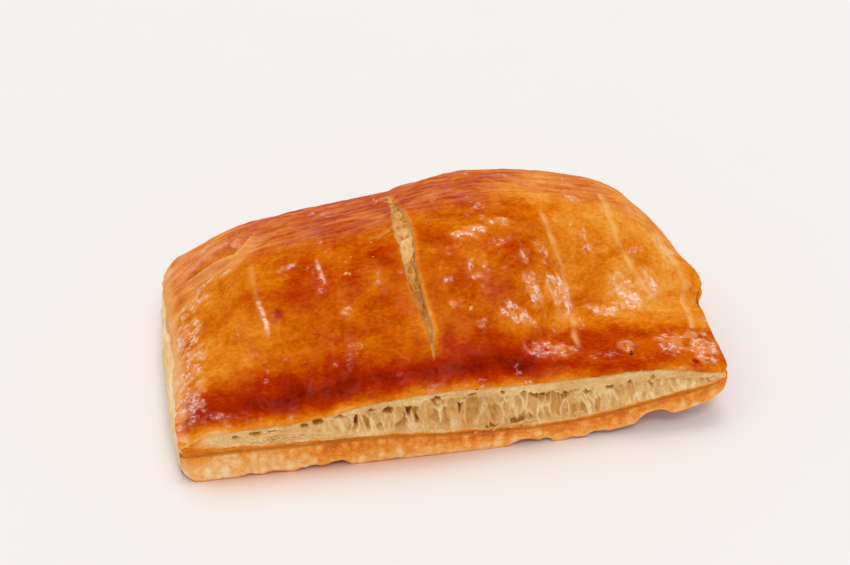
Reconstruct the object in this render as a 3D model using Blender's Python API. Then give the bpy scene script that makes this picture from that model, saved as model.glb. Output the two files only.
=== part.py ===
"""A baked puff pastry sausage roll, as one closed solid.

X runs along the roll and Z is up. The dough is folded over at the back (+Y). Its sealed
long edge is at the front (-Y), where the layers have burst open between the crust's lip
and the bottom sheet. The right end (+X) has curled up off the tray while baking.
"""
import math

import bmesh
import bpy
import numpy as np

MM = 0.001

# Overall size, in millimetres until the mesh is made.
LENGTH = 154.0
WIDTH = 78.0
LEFT_PUFF = 4.0          # how far the cut left end swells past the crust
RIGHT_PUFF = 1.5         # the same at the pinched right end

# Curves along the roll. Each has nine values, evenly spaced from the left end to the
# right end, and is read as one smooth line.
CREST_HEIGHT = (22.0, 34.5, 41.5, 44.5, 48.0, 51.0, 47.5, 39.5, 24.0)
CREST_PLACE = (10.0, 7.0, 5.0, 4.0, 5.0, 6.0, 7.0, 8.0, 8.0)      # towards the back
LIP_HEIGHT = (14.5, 16.6, 17.4, 20.6, 21.8, 20.9, 21.4, 21.3, 19.0)
BOTTOM_SHEET = (10.3, 10.0, 8.7, 7.9, 6.9, 6.5, 6.4, 6.0, 6.0)    # its thickness
FLANGE_WIDTH = (5.0, 5.0, 5.0, 5.0, 5.5, 9.0, 20.0, 23.0, 27.0)   # from lip to hump
FLANGE_RISE = (3.0, 3.0, 3.0, 3.5, 3.5, 3.0, 1.5, 1.0, 1.0)
FRONT_FULLNESS = (2.3, 2.3, 2.3, 2.3, 2.3, 2.3, 2.3, 2.4, 2.4)
FRONT_FOOT = (1.05, 1.05, 1.05, 1.05, 1.0, 0.9, 0.75, 0.7, 0.7)   # under 1 is a soft foot
FOLD_HEIGHT = (14.0, 15.0, 16.0, 17.0, 18.0, 19.0, 20.0, 20.0, 20.0)
MOUTH_DEPTH = (0.8, 1.2, 2.0, 3.0, 3.5, 3.5, 3.0, 2.0, 0.8)

# The curled right end.
CURL_START = 28.0
CURL_HEIGHT = 11.5
CURL_POWER = 1.7
CURL_AT_BACK = 0.8       # share of the curl that the folded back edge has

# Roundings.
BACK_FULLNESS = 2.4
HUMP_END_LENGTH = 20.0   # the hump rounds off over this length at the right
HUMP_END_RISE = 1.2      # what is left of the hump at the right end
LEFT_ROUND = 6.0
LEFT_DROP = 4.0
CORNER_LENGTH = 28.0     # the right back corner, seen from above
CORNER_INSET = 36.0
FOLD_TUCK = 7.0          # the back edge turns under by this much
SHEET_BULGE = 2.5        # how round the bottom sheet's edge is
LIP_INSET = 1.5
LIP_ROUND = 1.0
PUFF_RINGS = (0.97, 0.9, 0.75, 0.5, 0.25)   # how an end's outline shrinks as it swells

# Mesh fineness.
STATIONS = 66
SEGMENTS = {"sheet": 6, "mouth": 4, "lip": 2, "flange": 4, "front": 14, "back": 14,
            "fold": 7, "bottom": 6}

# The burst slash across the top, and the pocket under the fold at the back left corner.
# Places are given as (along, across), from the back of each gash to its front.
SLASH_PATH = ((-7.6, 19.0), (-8.2, 10.0), (-7.7, 2.0), (-6.9, -9.0), (-5.4, -19.5),
              (-3.4, -30.0))
SLASH_HALF_WIDTHS = (0.5, 2.0, 2.7, 2.3, 1.3, 0.4)
SLASH_DEPTHS = (0.8, 3.2, 4.4, 4.4, 3.0, 0.8)
POCKET_PATH = ((-69.0, 26.5), (-63.5, 20.0), (-57.5, 16.5), (-51.5, 16.5), (-48.0, 19.5))
POCKET_HALF_WIDTHS = (0.6, 1.8, 2.0, 1.5, 0.5)
POCKET_DEPTHS = (0.6, 2.0, 2.2, 1.8, 0.6)
CUTTER_RISE = 4.0        # how far a cutter stands out of the crust
GASH_STATIONS = 17


def spline(values, share):
    """Read evenly spaced values at a share of the way along a Catmull-Rom spline."""
    values = np.asarray(values, float)
    last = len(values) - 1
    place = np.clip(share, 0.0, 1.0) * last
    index = np.clip(np.floor(place).astype(int), 0, last - 1)
    step = place - index
    ends = ([2 * values[0] - values[1]], values, [2 * values[-1] - values[-2]])
    padded = np.concatenate(ends)
    before, start, end, after = (padded[index + k] for k in range(4))
    curve = step * (3 * (start - end) + after - before)
    slope = step * (2 * before - 5 * start + 4 * end - after + curve)
    return start + 0.5 * step * (end - before + slope)


def along(x, values):
    """Read one of the roll's curves at x."""
    return spline(values, x / LENGTH + 0.5)


def quarter(share, power):
    """A quarter of a superellipse: 1 at share 0, falling to 0 at share 1."""
    return np.maximum(1.0 - np.clip(share, 0.0, 1.0) ** power, 0.0) ** (1.0 / power)


def curl(x, y):
    """Height of the underside above the tray."""
    rise = np.clip((x - CURL_START) / (LENGTH / 2 - CURL_START), 0.0, 1.0) ** CURL_POWER
    backness = np.clip(0.5 + y / WIDTH, 0.0, 1.0)
    return CURL_HEIGHT * rise * (1.0 - (1.0 - CURL_AT_BACK) * backness)


def sections(x):
    """Closed cross-sections at the stations x, as arrays of y and z.

    Each section starts at the foot of the bottom sheet's front edge and goes up the
    sheet, the open mouth, the lip and the flange, over the hump, down the folded back
    and along the underside.
    """
    x = x[:, None]
    half = LENGTH / 2
    right_edge = half - RIGHT_PUFF
    left_edge = half - LEFT_PUFF
    front = -WIDTH / 2
    lip = along(x, LIP_HEIGHT)
    foot_z = lip + along(x, FLANGE_RISE)
    fold = along(x, FOLD_HEIGHT)

    corner = (x - right_edge + CORNER_LENGTH) / CORNER_LENGTH
    left_end = (-x - left_edge + LEFT_ROUND) / LEFT_ROUND
    back = WIDTH / 2 - CORNER_INSET * (1.0 - quarter(corner, 2.2))
    back = back - LEFT_DROP * (1.0 - quarter(left_end, 2.0))
    crest_y = np.minimum(along(x, CREST_PLACE), back - 9.0)
    foot_y = np.minimum(front + LIP_INSET + along(x, FLANGE_WIDTH), crest_y - 4.0)

    hump_end = (x - right_edge + HUMP_END_LENGTH) / HUMP_END_LENGTH
    end_z = foot_z + HUMP_END_RISE
    crest_z = end_z + (along(x, CREST_HEIGHT) - end_z) * quarter(hump_end, 2.0)
    crest_z = crest_z - LEFT_DROP * (1.0 - quarter(left_end, 2.2))
    fold = np.minimum(fold + curl(x, back) * 0.3, crest_z - 3.0)

    def steps(name):
        return (np.arange(SEGMENTS[name]) / SEGMENTS[name])[None, :]

    sheet_base = curl(x, front)
    sheet_top = sheet_base + along(x, BOTTOM_SHEET)
    share = steps("sheet")
    sheet_y = front + SHEET_BULGE * np.abs(2 * share - 1) ** 2.5 + 0 * x
    sheet_z = sheet_base + (sheet_top - sheet_base) * share

    share = steps("mouth")
    depth = along(x, MOUTH_DEPTH) * np.sin(math.pi * share) ** 0.6
    mouth_y = front + SHEET_BULGE + (LIP_INSET - SHEET_BULGE) * share + depth
    mouth_z = sheet_top + (lip - LIP_ROUND - sheet_top) * share

    share = steps("lip")
    lip_y = front + LIP_INSET * (1.0 - 0.4 * np.sin(math.pi * share)) + 0 * x
    lip_z = lip - LIP_ROUND * (1.0 - share)

    share = steps("flange")
    flange_y = front + LIP_INSET + (foot_y - front - LIP_INSET) * share
    flange_z = lip + (foot_z - lip) * (1.0 - (1.0 - share) ** 2)

    share = 1.0 - np.cos(steps("front") * math.pi / 2)
    front_y = foot_y + (crest_y - foot_y) * share
    climb = 1.0 - (1.0 - share) ** along(x, FRONT_FULLNESS)
    front_z = foot_z + (crest_z - foot_z) * climb ** (1.0 / along(x, FRONT_FOOT))

    angle = steps("back") * math.pi / 2
    back_y = crest_y + (back - crest_y) * np.sin(angle) ** (2 / BACK_FULLNESS)
    back_z = fold + (crest_z - fold) * np.cos(angle) ** (2 / BACK_FULLNESS)

    angle = steps("fold") * math.pi / 2
    fold_y = back - FOLD_TUCK * (1.0 - np.cos(angle))
    under = curl(x, fold_y)
    fold_z = under + (fold - under) * (1.0 - np.sin(angle))

    share = steps("bottom")
    bottom_y = (back - FOLD_TUCK) * (1 - share) + (front + SHEET_BULGE) * share
    bottom_z = curl(x, bottom_y)

    ys = (sheet_y, mouth_y, lip_y, flange_y, front_y, back_y, fold_y, bottom_y)
    zs = (sheet_z, mouth_z, lip_z, flange_z, front_z, back_z, fold_z, bottom_z)
    return np.concatenate(ys, axis=1), np.concatenate(zs, axis=1)


def end_rings(y, z, edge_x, puff):
    """Rings that swell outwards from an end section and shrink towards its middle."""
    middle_y, middle_z = (y.max() + y.min()) / 2, (z.max() + z.min()) / 2
    rings = []
    for scale in PUFF_RINGS:
        ring_x = np.full_like(y, edge_x + puff * math.sqrt(1.0 - scale ** 3))
        ring_y = middle_y + (y - middle_y) * scale
        ring_z = middle_z + (z - middle_z) * scale
        rings.append(np.stack([ring_x, ring_y, ring_z], axis=1))
    centre = np.array([edge_x + puff, middle_y, middle_z])
    return rings, centre


def station_places():
    """Places along the roll, packed closer together towards both ends."""
    left = -LENGTH / 2 + LEFT_PUFF
    right = LENGTH / 2 - RIGHT_PUFF
    share = np.linspace(0.0, 1.0, STATIONS)
    eased = 0.45 * share + 0.55 * (1.0 - np.cos(math.pi * share)) / 2
    return left + (right - left) * eased


def loft(name, rings, start_centre=None, end_centre=None):
    """A closed skin over a row of rings, with a fan of faces to a point at each end."""
    count = len(rings[0])
    points = np.concatenate(rings) * MM
    mesh = bmesh.new()
    verts = [mesh.verts.new(point) for point in points]
    for ring in range(len(rings) - 1):
        for k in range(count):
            near, far = ring * count, (ring + 1) * count
            turn = (k + 1) % count
            mesh.faces.new((verts[near + k], verts[near + turn],
                            verts[far + turn], verts[far + k]))
    for centre, base in ((start_centre, 0), (end_centre, (len(rings) - 1) * count)):
        loop = verts[base:base + count]
        if centre is None:
            mesh.faces.new(loop)
            continue
        point = mesh.verts.new(centre * MM)
        for k in range(count):
            mesh.faces.new((loop[k], loop[(k + 1) % count], point))
    bmesh.ops.recalc_face_normals(mesh, faces=mesh.faces)
    data = bpy.data.meshes.new(name)
    mesh.to_mesh(data)
    mesh.free()
    return bpy.data.objects.new(name, data)


def roll_body(name):
    """The whole roll as a loft through its cross-sections, closed by two puffed ends."""
    x = station_places()
    y, z = sections(x)
    body = [np.stack([np.full_like(y[i], x[i]), y[i], z[i]], axis=1)
            for i in range(STATIONS)]
    left, left_centre = end_rings(y[0], z[0], x[0], -LEFT_PUFF)
    right, right_centre = end_rings(y[-1], z[-1], x[-1], RIGHT_PUFF)
    return loft(name, left[::-1] + body + right, left_centre, right_centre)


def crust_height(x, y):
    """Height of the crust over the point (x, y), read off its own cross-section."""
    section_y, section_z = sections(np.array([x]))
    first = sum(SEGMENTS[part] for part in ("sheet", "mouth", "lip"))
    last = first + sum(SEGMENTS[part] for part in ("flange", "front", "back"))
    return float(np.interp(y, section_y[0, first:last], section_z[0, first:last]))


def gash(name, path, half_widths, depths):
    """A V-shaped cutter that follows the crust along a path, from back to front."""
    share = np.linspace(0.0, 1.0, GASH_STATIONS)
    centre_x = spline([place[0] for place in path], share)
    centre_y = spline([place[1] for place in path], share)
    half = spline(half_widths, share)
    depth = spline(depths, share)
    heading = np.arctan2(np.gradient(centre_y), np.gradient(centre_x))
    side_x, side_y = -np.sin(heading), np.cos(heading)
    rings = []
    for k in range(GASH_STATIONS):
        top = crust_height(centre_x[k], centre_y[k])
        flare = 1.0 + CUTTER_RISE / depth[k]
        wide = half[k] * min(flare, 2.5)
        corners = ((-wide, top + CUTTER_RISE), (-half[k], top), (-0.3 * half[k], top - depth[k]),
                   (0.3 * half[k], top - depth[k]), (half[k], top), (wide, top + CUTTER_RISE))
        rings.append(np.array([(centre_x[k] + side * side_x[k], centre_y[k] + side * side_y[k],
                                height) for side, height in corners]))
    return loft(name, rings)


def crust_material():
    """Egg-washed, well browned crust."""
    material = bpy.data.materials.new("golden_crust")
    material.use_nodes = True
    shader = material.node_tree.nodes["Principled BSDF"]
    shader.inputs["Base Color"].default_value = (0.60, 0.24, 0.05, 1.0)
    shader.inputs["Roughness"].default_value = 0.35
    shader.inputs["Metallic"].default_value = 0.0
    return material


def collection(name):
    """A new collection, linked to the scene."""
    group = bpy.data.collections.new(name)
    bpy.context.scene.collection.children.link(group)
    return group


def main():
    for item in list(bpy.data.objects):
        bpy.data.objects.remove(item, do_unlink=True)
    parts = collection("sausage_roll")
    cutters = collection("cutters")

    roll = roll_body("sausage_roll")
    roll.data.materials.append(crust_material())
    roll.data.shade_smooth()
    roll.data.set_sharp_from_angle(angle=math.radians(50))
    parts.objects.link(roll)

    gashes = (("burst_slash", SLASH_PATH, SLASH_HALF_WIDTHS, SLASH_DEPTHS),
              ("fold_pocket", POCKET_PATH, POCKET_HALF_WIDTHS, POCKET_DEPTHS))
    for name, path, half_widths, depths in gashes:
        cutter = gash(name, path, half_widths, depths)
        cutter.hide_render = True
        cutter.display_type = "WIRE"
        cutters.objects.link(cutter)
        cut = roll.modifiers.new(name, "BOOLEAN")
        cut.operation = "DIFFERENCE"
        cut.object = cutter


main()
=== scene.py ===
# %% [markdown]
# # A puff pastry sausage roll
# The real thing is a sheet of puff pastry folded over a filling. The fold is at the back,
# the two edges are sealed at the front, and in the oven the sealed edge has burst open and
# shows its layers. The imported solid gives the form, and this script makes the surface:
# an egg-washed crust, the open layers, the paler bottom sheet, the cut ends and crumbs.
# Every surface is worked out with numpy on a grid of two parameters.

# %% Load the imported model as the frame
import math

import bpy
import numpy as np
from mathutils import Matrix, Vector


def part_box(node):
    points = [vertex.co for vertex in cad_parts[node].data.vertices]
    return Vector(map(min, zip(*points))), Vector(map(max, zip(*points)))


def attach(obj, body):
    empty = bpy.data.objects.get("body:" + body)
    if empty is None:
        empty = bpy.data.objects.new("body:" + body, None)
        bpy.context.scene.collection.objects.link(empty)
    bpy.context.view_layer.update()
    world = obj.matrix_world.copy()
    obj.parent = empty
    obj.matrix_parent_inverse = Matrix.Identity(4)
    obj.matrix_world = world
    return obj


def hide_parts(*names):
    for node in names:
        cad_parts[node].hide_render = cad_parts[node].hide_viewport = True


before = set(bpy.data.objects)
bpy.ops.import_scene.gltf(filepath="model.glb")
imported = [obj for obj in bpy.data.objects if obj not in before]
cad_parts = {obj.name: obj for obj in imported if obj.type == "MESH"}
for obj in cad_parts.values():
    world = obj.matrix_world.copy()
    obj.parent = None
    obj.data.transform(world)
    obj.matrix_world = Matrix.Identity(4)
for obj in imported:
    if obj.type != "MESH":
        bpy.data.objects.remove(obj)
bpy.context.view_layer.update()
ROLL = "sausage_roll"
MM = 0.001
low, high = (np.array(corner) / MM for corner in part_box(ROLL))
LENGTH, WIDTH = high[0] - low[0], high[1] - low[1]
FRONT = low[1]
print(f"the roll is {LENGTH:.1f} mm long and {WIDTH:.1f} mm wide")

# %% [markdown]
# ## Smooth curves and noise
# Baked dough is uneven at every size, from slow swells to fine pimples. Blender's textures
# could do the fine part, but the outline has to change too, so the shape gets noise of its
# own: Perlin's noise for swells and wrinkles, and Worley's cells for blisters and holes.


# %% Helpers for shapes
def spline(values, share):
    """Evenly spaced values read at a share of the way: a Catmull-Rom curve through them."""
    values = np.asarray(values, float)
    last = len(values) - 1
    place = np.clip(share, 0.0, 1.0) * last
    index = np.clip(np.floor(place).astype(int), 0, last - 1)
    step = place - index
    ends = ([2 * values[0] - values[1]], values, [2 * values[-1] - values[-2]])
    padded = np.concatenate(ends)
    before, start, end, after = (padded[index + k] for k in range(4))
    curve = step * (3 * (start - end) + after - before)
    slope = step * (2 * before - 5 * start + 4 * end - after + curve)
    return start + 0.5 * step * (end - before + slope)


def along(x, values):
    """One of the roll's curves, read at x."""
    return spline(values, x / LENGTH + 0.5)


def quarter(share, power):
    """A quarter of a superellipse: 1 at share 0, falling to 0 at share 1."""
    return np.maximum(1.0 - np.clip(share, 0.0, 1.0) ** power, 0.0) ** (1.0 / power)


def rise(value, start, end):
    """A smooth step from 0 at start to 1 at end."""
    t = np.clip((value - start) / (end - start), 0.0, 1.0)
    return t * t * (3.0 - 2.0 * t)


def hill(value, middle, width):
    """A bell curve: 1 at the middle, and about a third at one width from it."""
    return np.exp(-(((value - middle) / width) ** 2))


# %% Helpers for noise
def noise(x, y, size, seed):
    """Perlin's noise, about -1 to 1: lattice corners have random slopes, blended smoothly."""
    angles = np.random.default_rng(seed).uniform(0.0, 2.0 * math.pi, (256, 256))
    x, y = np.broadcast_arrays(x / size + 64.0, y / size + 64.0)
    column, row = np.floor(x).astype(int), np.floor(y).astype(int)
    across, up = x - column, y - row
    ease = [t * t * t * (t * (6.0 * t - 15.0) + 10.0) for t in (across, up)]
    total = np.zeros(x.shape)
    for i in (0, 1):
        for j in (0, 1):
            angle = angles[(column + i) % 256, (row + j) % 256]
            slope = np.cos(angle) * (across - i) + np.sin(angle) * (up - j)
            total += slope * np.abs(1 - i - ease[0]) * np.abs(1 - j - ease[1])
    return 1.4 * total


def layered(x, y, size, seed, layers=3, keep=0.5):
    """Several noises on top of each other, each half the size of the one before."""
    return sum(keep ** k * noise(x, y, size / 2 ** k, seed + k) for k in range(layers))


def cells(x, y, size, seed, stretch=1.0):
    """Worley's cells: distances to the nearest and second nearest seed, and a random value."""
    rng = np.random.default_rng(seed)
    seed_x, seed_y, luck = rng.uniform(0.0, 1.0, (3, 256, 256))
    x, y = np.broadcast_arrays(x / size + 64.0, y / (size * stretch) + 64.0)
    column, row = np.floor(x).astype(int), np.floor(y).astype(int)
    nearest, second = np.full(x.shape, 9.0), np.full(x.shape, 9.0)
    value = np.zeros(x.shape)
    for i in (-1, 0, 1):
        for j in (-1, 0, 1):
            a, b = (column + i) % 256, (row + j) % 256
            gap_x = column + i + 0.1 + 0.8 * seed_x[a, b] - x
            gap_y = row + j + 0.1 + 0.8 * seed_y[a, b] - y
            gap = np.hypot(gap_x, gap_y)
            closer = gap < nearest
            second = np.where(closer, nearest, np.minimum(second, gap))
            value = np.where(closer, luck[a, b], value)
            nearest = np.where(closer, gap, nearest)
    return nearest, second, value


# %% Helpers for meshes
def unit_normals(points):
    """Unit normals of a grid: the cross product of its two directions."""
    a, b = np.gradient(points, axis=0), np.gradient(points, axis=1)
    normals = np.cross(a, b)
    return normals / np.maximum(np.linalg.norm(normals, axis=2, keepdims=True), 1e-9)


def even_steps(points, count, weight):
    """Resample each row of a grid to count points, evenly by its weighted length."""
    gaps = np.linalg.norm(np.diff(points, axis=1), axis=2) * weight
    run = np.concatenate([np.zeros((len(points), 1)), np.cumsum(gaps, axis=1)], axis=1)
    run /= run[:, -1:]
    shift = 2.0 * np.arange(len(points))[:, None]
    wanted = np.linspace(0.0, 1.0, count)[None, :] + shift
    known = (run + shift).ravel()
    axes = [np.interp(wanted.ravel(), known, points[:, :, k].ravel()) for k in range(3)]
    return np.stack(axes, axis=1).reshape(len(points), count, 3)


def grid_faces(rows, columns, loop_rows=False, loop_columns=False):
    """Quads between neighbouring grid points, which wrap round where a direction loops."""
    index = np.arange(rows * columns).reshape(rows, columns)
    if loop_rows:
        index = np.concatenate([index, index[:1]], axis=0)
    if loop_columns:
        index = np.concatenate([index, index[:, :1]], axis=1)
    corners = (index[:-1, :-1], index[:-1, 1:], index[1:, 1:], index[1:, :-1])
    return np.stack(corners, axis=2).reshape(-1, 4)


def make_mesh(name, points, quads, triangles=None, values=None):
    """A mesh in metres from points in mm, quads, triangles and named values per point."""
    triangles = np.zeros((0, 3), int) if triangles is None else triangles
    corners = np.concatenate([quads.ravel(), triangles.ravel()])
    sizes = np.concatenate([np.full(len(quads), 4), np.full(len(triangles), 3)])
    data = bpy.data.meshes.new(name)
    data.vertices.add(len(points))
    data.vertices.foreach_set("co", (points * MM).astype(np.float32).ravel())
    data.loops.add(len(corners))
    data.loops.foreach_set("vertex_index", corners.astype(np.int32))
    data.polygons.add(len(sizes))
    starts = np.concatenate([[0], np.cumsum(sizes)[:-1]])
    data.polygons.foreach_set("loop_start", starts.astype(np.int32))
    data.update(calc_edges=True)
    data.validate()
    for key, numbers in (values or {}).items():
        attribute = data.attributes.new(key, "FLOAT", "POINT")
        attribute.data.foreach_set("value", numbers.astype(np.float32).ravel())
    data.shade_smooth()
    piece = bpy.data.objects.new(name, data)
    bpy.context.scene.collection.objects.link(piece)
    return piece


def tube_mesh(name, rings, start, end, values=None):
    """A closed piece: a stack of closed rings with a fan to a point at each end."""
    rows, columns = rings.shape[:2]
    quads = grid_faces(rows, columns, loop_columns=True)
    first = np.arange(columns)
    last = first + (rows - 1) * columns
    poles = rows * columns, rows * columns + 1
    fans = [np.stack([np.roll(first, -1), first, np.full(columns, poles[0])], axis=1),
            np.stack([last, np.roll(last, -1), np.full(columns, poles[1])], axis=1)]
    points = np.concatenate([rings.reshape(-1, 3), [start], [end]])
    padded = {}
    for key, numbers in (values or {}).items():
        numbers = np.broadcast_to(numbers, (rows, columns))
        tips = [numbers[0].mean(), numbers[-1].mean()]
        padded[key] = np.concatenate([numbers.ravel(), tips])
    triangles = np.concatenate(fans)
    if signed_volume(points, quads, triangles) < 0:
        quads, triangles = quads[:, ::-1], triangles[:, ::-1]
    return make_mesh(name, points, quads, triangles, padded)


def signed_volume(points, quads, triangles):
    """Volume inside a closed mesh, in cubic mm; below zero when its faces point inwards."""
    halves = np.concatenate([quads[:, [0, 1, 2]], quads[:, [0, 2, 3]], triangles])
    a, b, c = (points[halves[:, k]] for k in range(3))
    return float(np.einsum("ij,ij->i", a, np.cross(b, c)).sum() / 6.0)


# %% [markdown]
# ## The roll's main lines
# These curves are the same that the solid was made from. Each holds nine values in mm,
# evenly spaced from the left end to the right, so the crust here follows the solid.

# %% Curves along the roll
CREST_HEIGHT = (22.0, 34.5, 41.5, 44.5, 48.0, 51.0, 47.5, 39.5, 24.0)
CREST_PLACE = (10.0, 7.0, 5.0, 4.0, 5.0, 6.0, 7.0, 8.0, 8.0)
LIP_HEIGHT = (14.5, 16.6, 17.4, 20.6, 21.8, 20.9, 21.4, 21.3, 19.0)
FLANGE_WIDTH = (5.0, 5.0, 5.0, 5.0, 5.5, 9.0, 20.0, 23.0, 27.0)
FLANGE_RISE = (3.0, 3.0, 3.0, 3.5, 3.5, 3.0, 1.5, 1.0, 1.0)
FRONT_FULLNESS = (2.3, 2.3, 2.3, 2.3, 2.3, 2.3, 2.3, 2.4, 2.4)
FRONT_FOOT = (1.05, 1.05, 1.05, 1.05, 1.0, 0.9, 0.75, 0.7, 0.7)
FOLD_HEIGHT = (14.0, 15.0, 16.0, 17.0, 18.0, 19.0, 20.0, 20.0, 20.0)
CURL_START, CURL_HEIGHT, CURL_POWER, CURL_AT_BACK = 28.0, 11.5, 1.7, 0.8
BACK_FULLNESS = 2.4
HUMP_END_LENGTH, HUMP_END_RISE, HUMP_END_POWER = 20.0, 1.2, 2.5
LEFT_ROUND, LEFT_DROP, LEFT_PUFF = 6.0, 4.0, 4.0
CORNER_LENGTH, CORNER_INSET, RIGHT_PUFF = 28.0, 36.0, 1.5
FOLD_TUCK, LIP_INSET = 7.0, 1.5
# Where the surface departs a little from the solid: the band's top, and the left corner.
SHEET_BAND_TOP = (8.2, 8.2, 7.8, 7.5, 5.6, 4.8, 5.0, 5.0, 5.2)
WRAP_LENGTH, WRAP_DROP, LIP_SETTLE = 7.0, 2.6, 0.9
BACK_SINK, BACK_SINK_LENGTH = 5.5, 26.0
TIP_REACH, TIP_SETTLE = 1.3, 1.8
LEFT_EDGE = low[0] + LEFT_PUFF
RIGHT_EDGE = high[0] - RIGHT_PUFF


def curl(x, y):
    """Height of the underside above the table, as the right end lifts off it."""
    share = np.clip((x - CURL_START) / (high[0] - CURL_START), 0.0, 1.0) ** CURL_POWER
    backness = np.clip(0.5 + y / WIDTH, 0.0, 1.0)
    return CURL_HEIGHT * share * (1.0 - (1.0 - CURL_AT_BACK) * backness)


def main_lines(x):
    """Heights and depths in mm of the roll's main lines at places x along it."""
    wrap = rise(-x, -LEFT_EDGE - WRAP_LENGTH, -LEFT_EDGE)
    lip = along(x, LIP_HEIGHT) - LIP_SETTLE * rise(-x, 0.0, 60.0) - WRAP_DROP * wrap
    left_end = (-x + LEFT_EDGE + LEFT_ROUND) / LEFT_ROUND
    corner = (x - RIGHT_EDGE + CORNER_LENGTH) / CORNER_LENGTH
    back = -FRONT - CORNER_INSET * (1.0 - quarter(corner, 2.2))
    back = back - LEFT_DROP * (1.0 - quarter(left_end, 2.0))
    foot_z = lip + along(x, FLANGE_RISE)
    crest_y = np.minimum(along(x, CREST_PLACE), back - 9.0)
    hump_end = (x - RIGHT_EDGE + HUMP_END_LENGTH) / HUMP_END_LENGTH
    end_z = foot_z + HUMP_END_RISE
    crest_z = end_z + (along(x, CREST_HEIGHT) - end_z) * quarter(hump_end, HUMP_END_POWER)
    sunk = rise(-x, -LEFT_EDGE - BACK_SINK_LENGTH, -LEFT_EDGE)
    crest_z = crest_z - LEFT_DROP * (1.0 - quarter(left_end, 2.2)) - BACK_SINK * sunk
    return {
        "lip": lip, "foot_z": foot_z, "back": back, "crest_y": crest_y, "crest_z": crest_z,
        "foot_y": np.minimum(FRONT + LIP_INSET + along(x, FLANGE_WIDTH), crest_y - 4.0),
        "fold": np.minimum(along(x, FOLD_HEIGHT) + 0.3 * curl(x, back), crest_z - 3.0),
        "fullness": along(x, FRONT_FULLNESS), "softness": 1.0 / along(x, FRONT_FOOT),
        "sheet_base": curl(x, FRONT), "sheet_top": curl(x, FRONT) + along(x, SHEET_BAND_TOP),
    }


def reach_out(points):
    """Pull the front right tip a little out and down: a smooth step along and across."""
    near = rise(points[..., 0], 55.0, 75.0) * (1.0 - rise(points[..., 1], FRONT + 4.0, FRONT + 16.0))
    points[..., 0] += TIP_REACH * near
    points[..., 2] -= TIP_SETTLE * near
    return points


print("main lines at the middle:", {k: round(float(v[0]), 1)
                                    for k, v in main_lines(np.array([0.0])).items()})

# %% [markdown]
# ## The crust: its section
# The top sheet of dough is one skin from the lip at the front to the tuck under the fold.
# Its cross-section is drawn as short curves end to end, then resampled so that the grid
# is even, and it closes through the inside of the roll where nobody sees it.


# %% Crust section
def crust_outline(x):
    """Outer line of the crust at each x: round the lip, the flange, the hump, the fold."""
    m = {key: value[:, None] for key, value in main_lines(x).items()}
    turn = np.linspace(-0.5, 0.5, 9)[None, :] * math.pi
    lip_y = FRONT + LIP_INSET + LIP_RADIUS * (1.0 - np.cos(turn)) + 0.0 * m["lip"]
    lip_z = m["lip"] + LIP_RADIUS * (np.sin(turn) - 1.0)

    share = np.linspace(0.0, 1.0, 14)[None, 1:]
    flange_start = FRONT + LIP_INSET + LIP_RADIUS
    flange_y = flange_start + (m["foot_y"] - flange_start) * share
    flange_z = m["lip"] + (m["foot_z"] - m["lip"]) * (1.0 - (1.0 - share) ** 2)

    share = 1.0 - np.cos(np.linspace(0.0, 0.5, 70)[None, 1:] * math.pi)
    front_y = m["foot_y"] + (m["crest_y"] - m["foot_y"]) * share
    climb = (1.0 - (1.0 - share) ** m["fullness"]) ** m["softness"]
    front_z = m["foot_z"] + (m["crest_z"] - m["foot_z"]) * climb

    angle = np.linspace(0.0, 0.5, 70)[None, 1:] * math.pi
    bulge = 2.0 / BACK_FULLNESS
    back_y = m["crest_y"] + (m["back"] - m["crest_y"]) * np.sin(angle) ** bulge
    back_z = m["fold"] + (m["crest_z"] - m["fold"]) * np.maximum(np.cos(angle), 0.0) ** bulge

    angle = np.linspace(0.0, 0.5, 24)[None, 1:] * math.pi
    fold_y = m["back"] - FOLD_TUCK * (1.0 - np.cos(angle))
    under = curl(x[:, None], fold_y)
    fold_z = under + (m["fold"] - under) * (1.0 - np.sin(angle))

    y = np.concatenate([lip_y, flange_y, front_y, back_y, fold_y], axis=1)
    z = np.concatenate([lip_z, flange_z, front_z, back_z, fold_z], axis=1)
    return np.stack([np.broadcast_to(x[:, None], y.shape), y, z], axis=2)


LIP_RADIUS = 0.8
CRUST_STATIONS, CRUST_COLUMNS = 410, 228


def packed_stations(start, end, count, spots):
    """Places from start to end, closer together around spots given as (place, width, pull)."""
    fine = np.linspace(start, end, 4000)
    density = 1.0 + sum(pull * hill(fine, place, width) for place, width, pull in spots)
    run = np.concatenate([[0.0], np.cumsum(density[1:] + density[:-1])])
    return np.interp(np.linspace(0.0, run[-1], count), run, fine)


crust_x = packed_stations(LEFT_EDGE, RIGHT_EDGE, CRUST_STATIONS,
                          ((-6.5, 6.0, 2.2), (LEFT_EDGE, 6.0, 1.2), (RIGHT_EDGE, 6.0, 1.5)))
outline = crust_outline(crust_x)
middle_y = (outline[:, 1:, 1] + outline[:, :-1, 1]) / 2
crust_base = even_steps(outline, CRUST_COLUMNS, np.where(middle_y < 20.0, 1.0, 0.55))


def relax(points, share, rounds):
    """Slide each point towards the middle of its two neighbours in its row, round by round."""
    for _ in range(rounds):
        middle = (points[:, :-2] + points[:, 2:]) / 2
        points[:, 1:-1] += 0.5 * share[:, 1:-1, None] * (middle - points[:, 1:-1])
    return points


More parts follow.
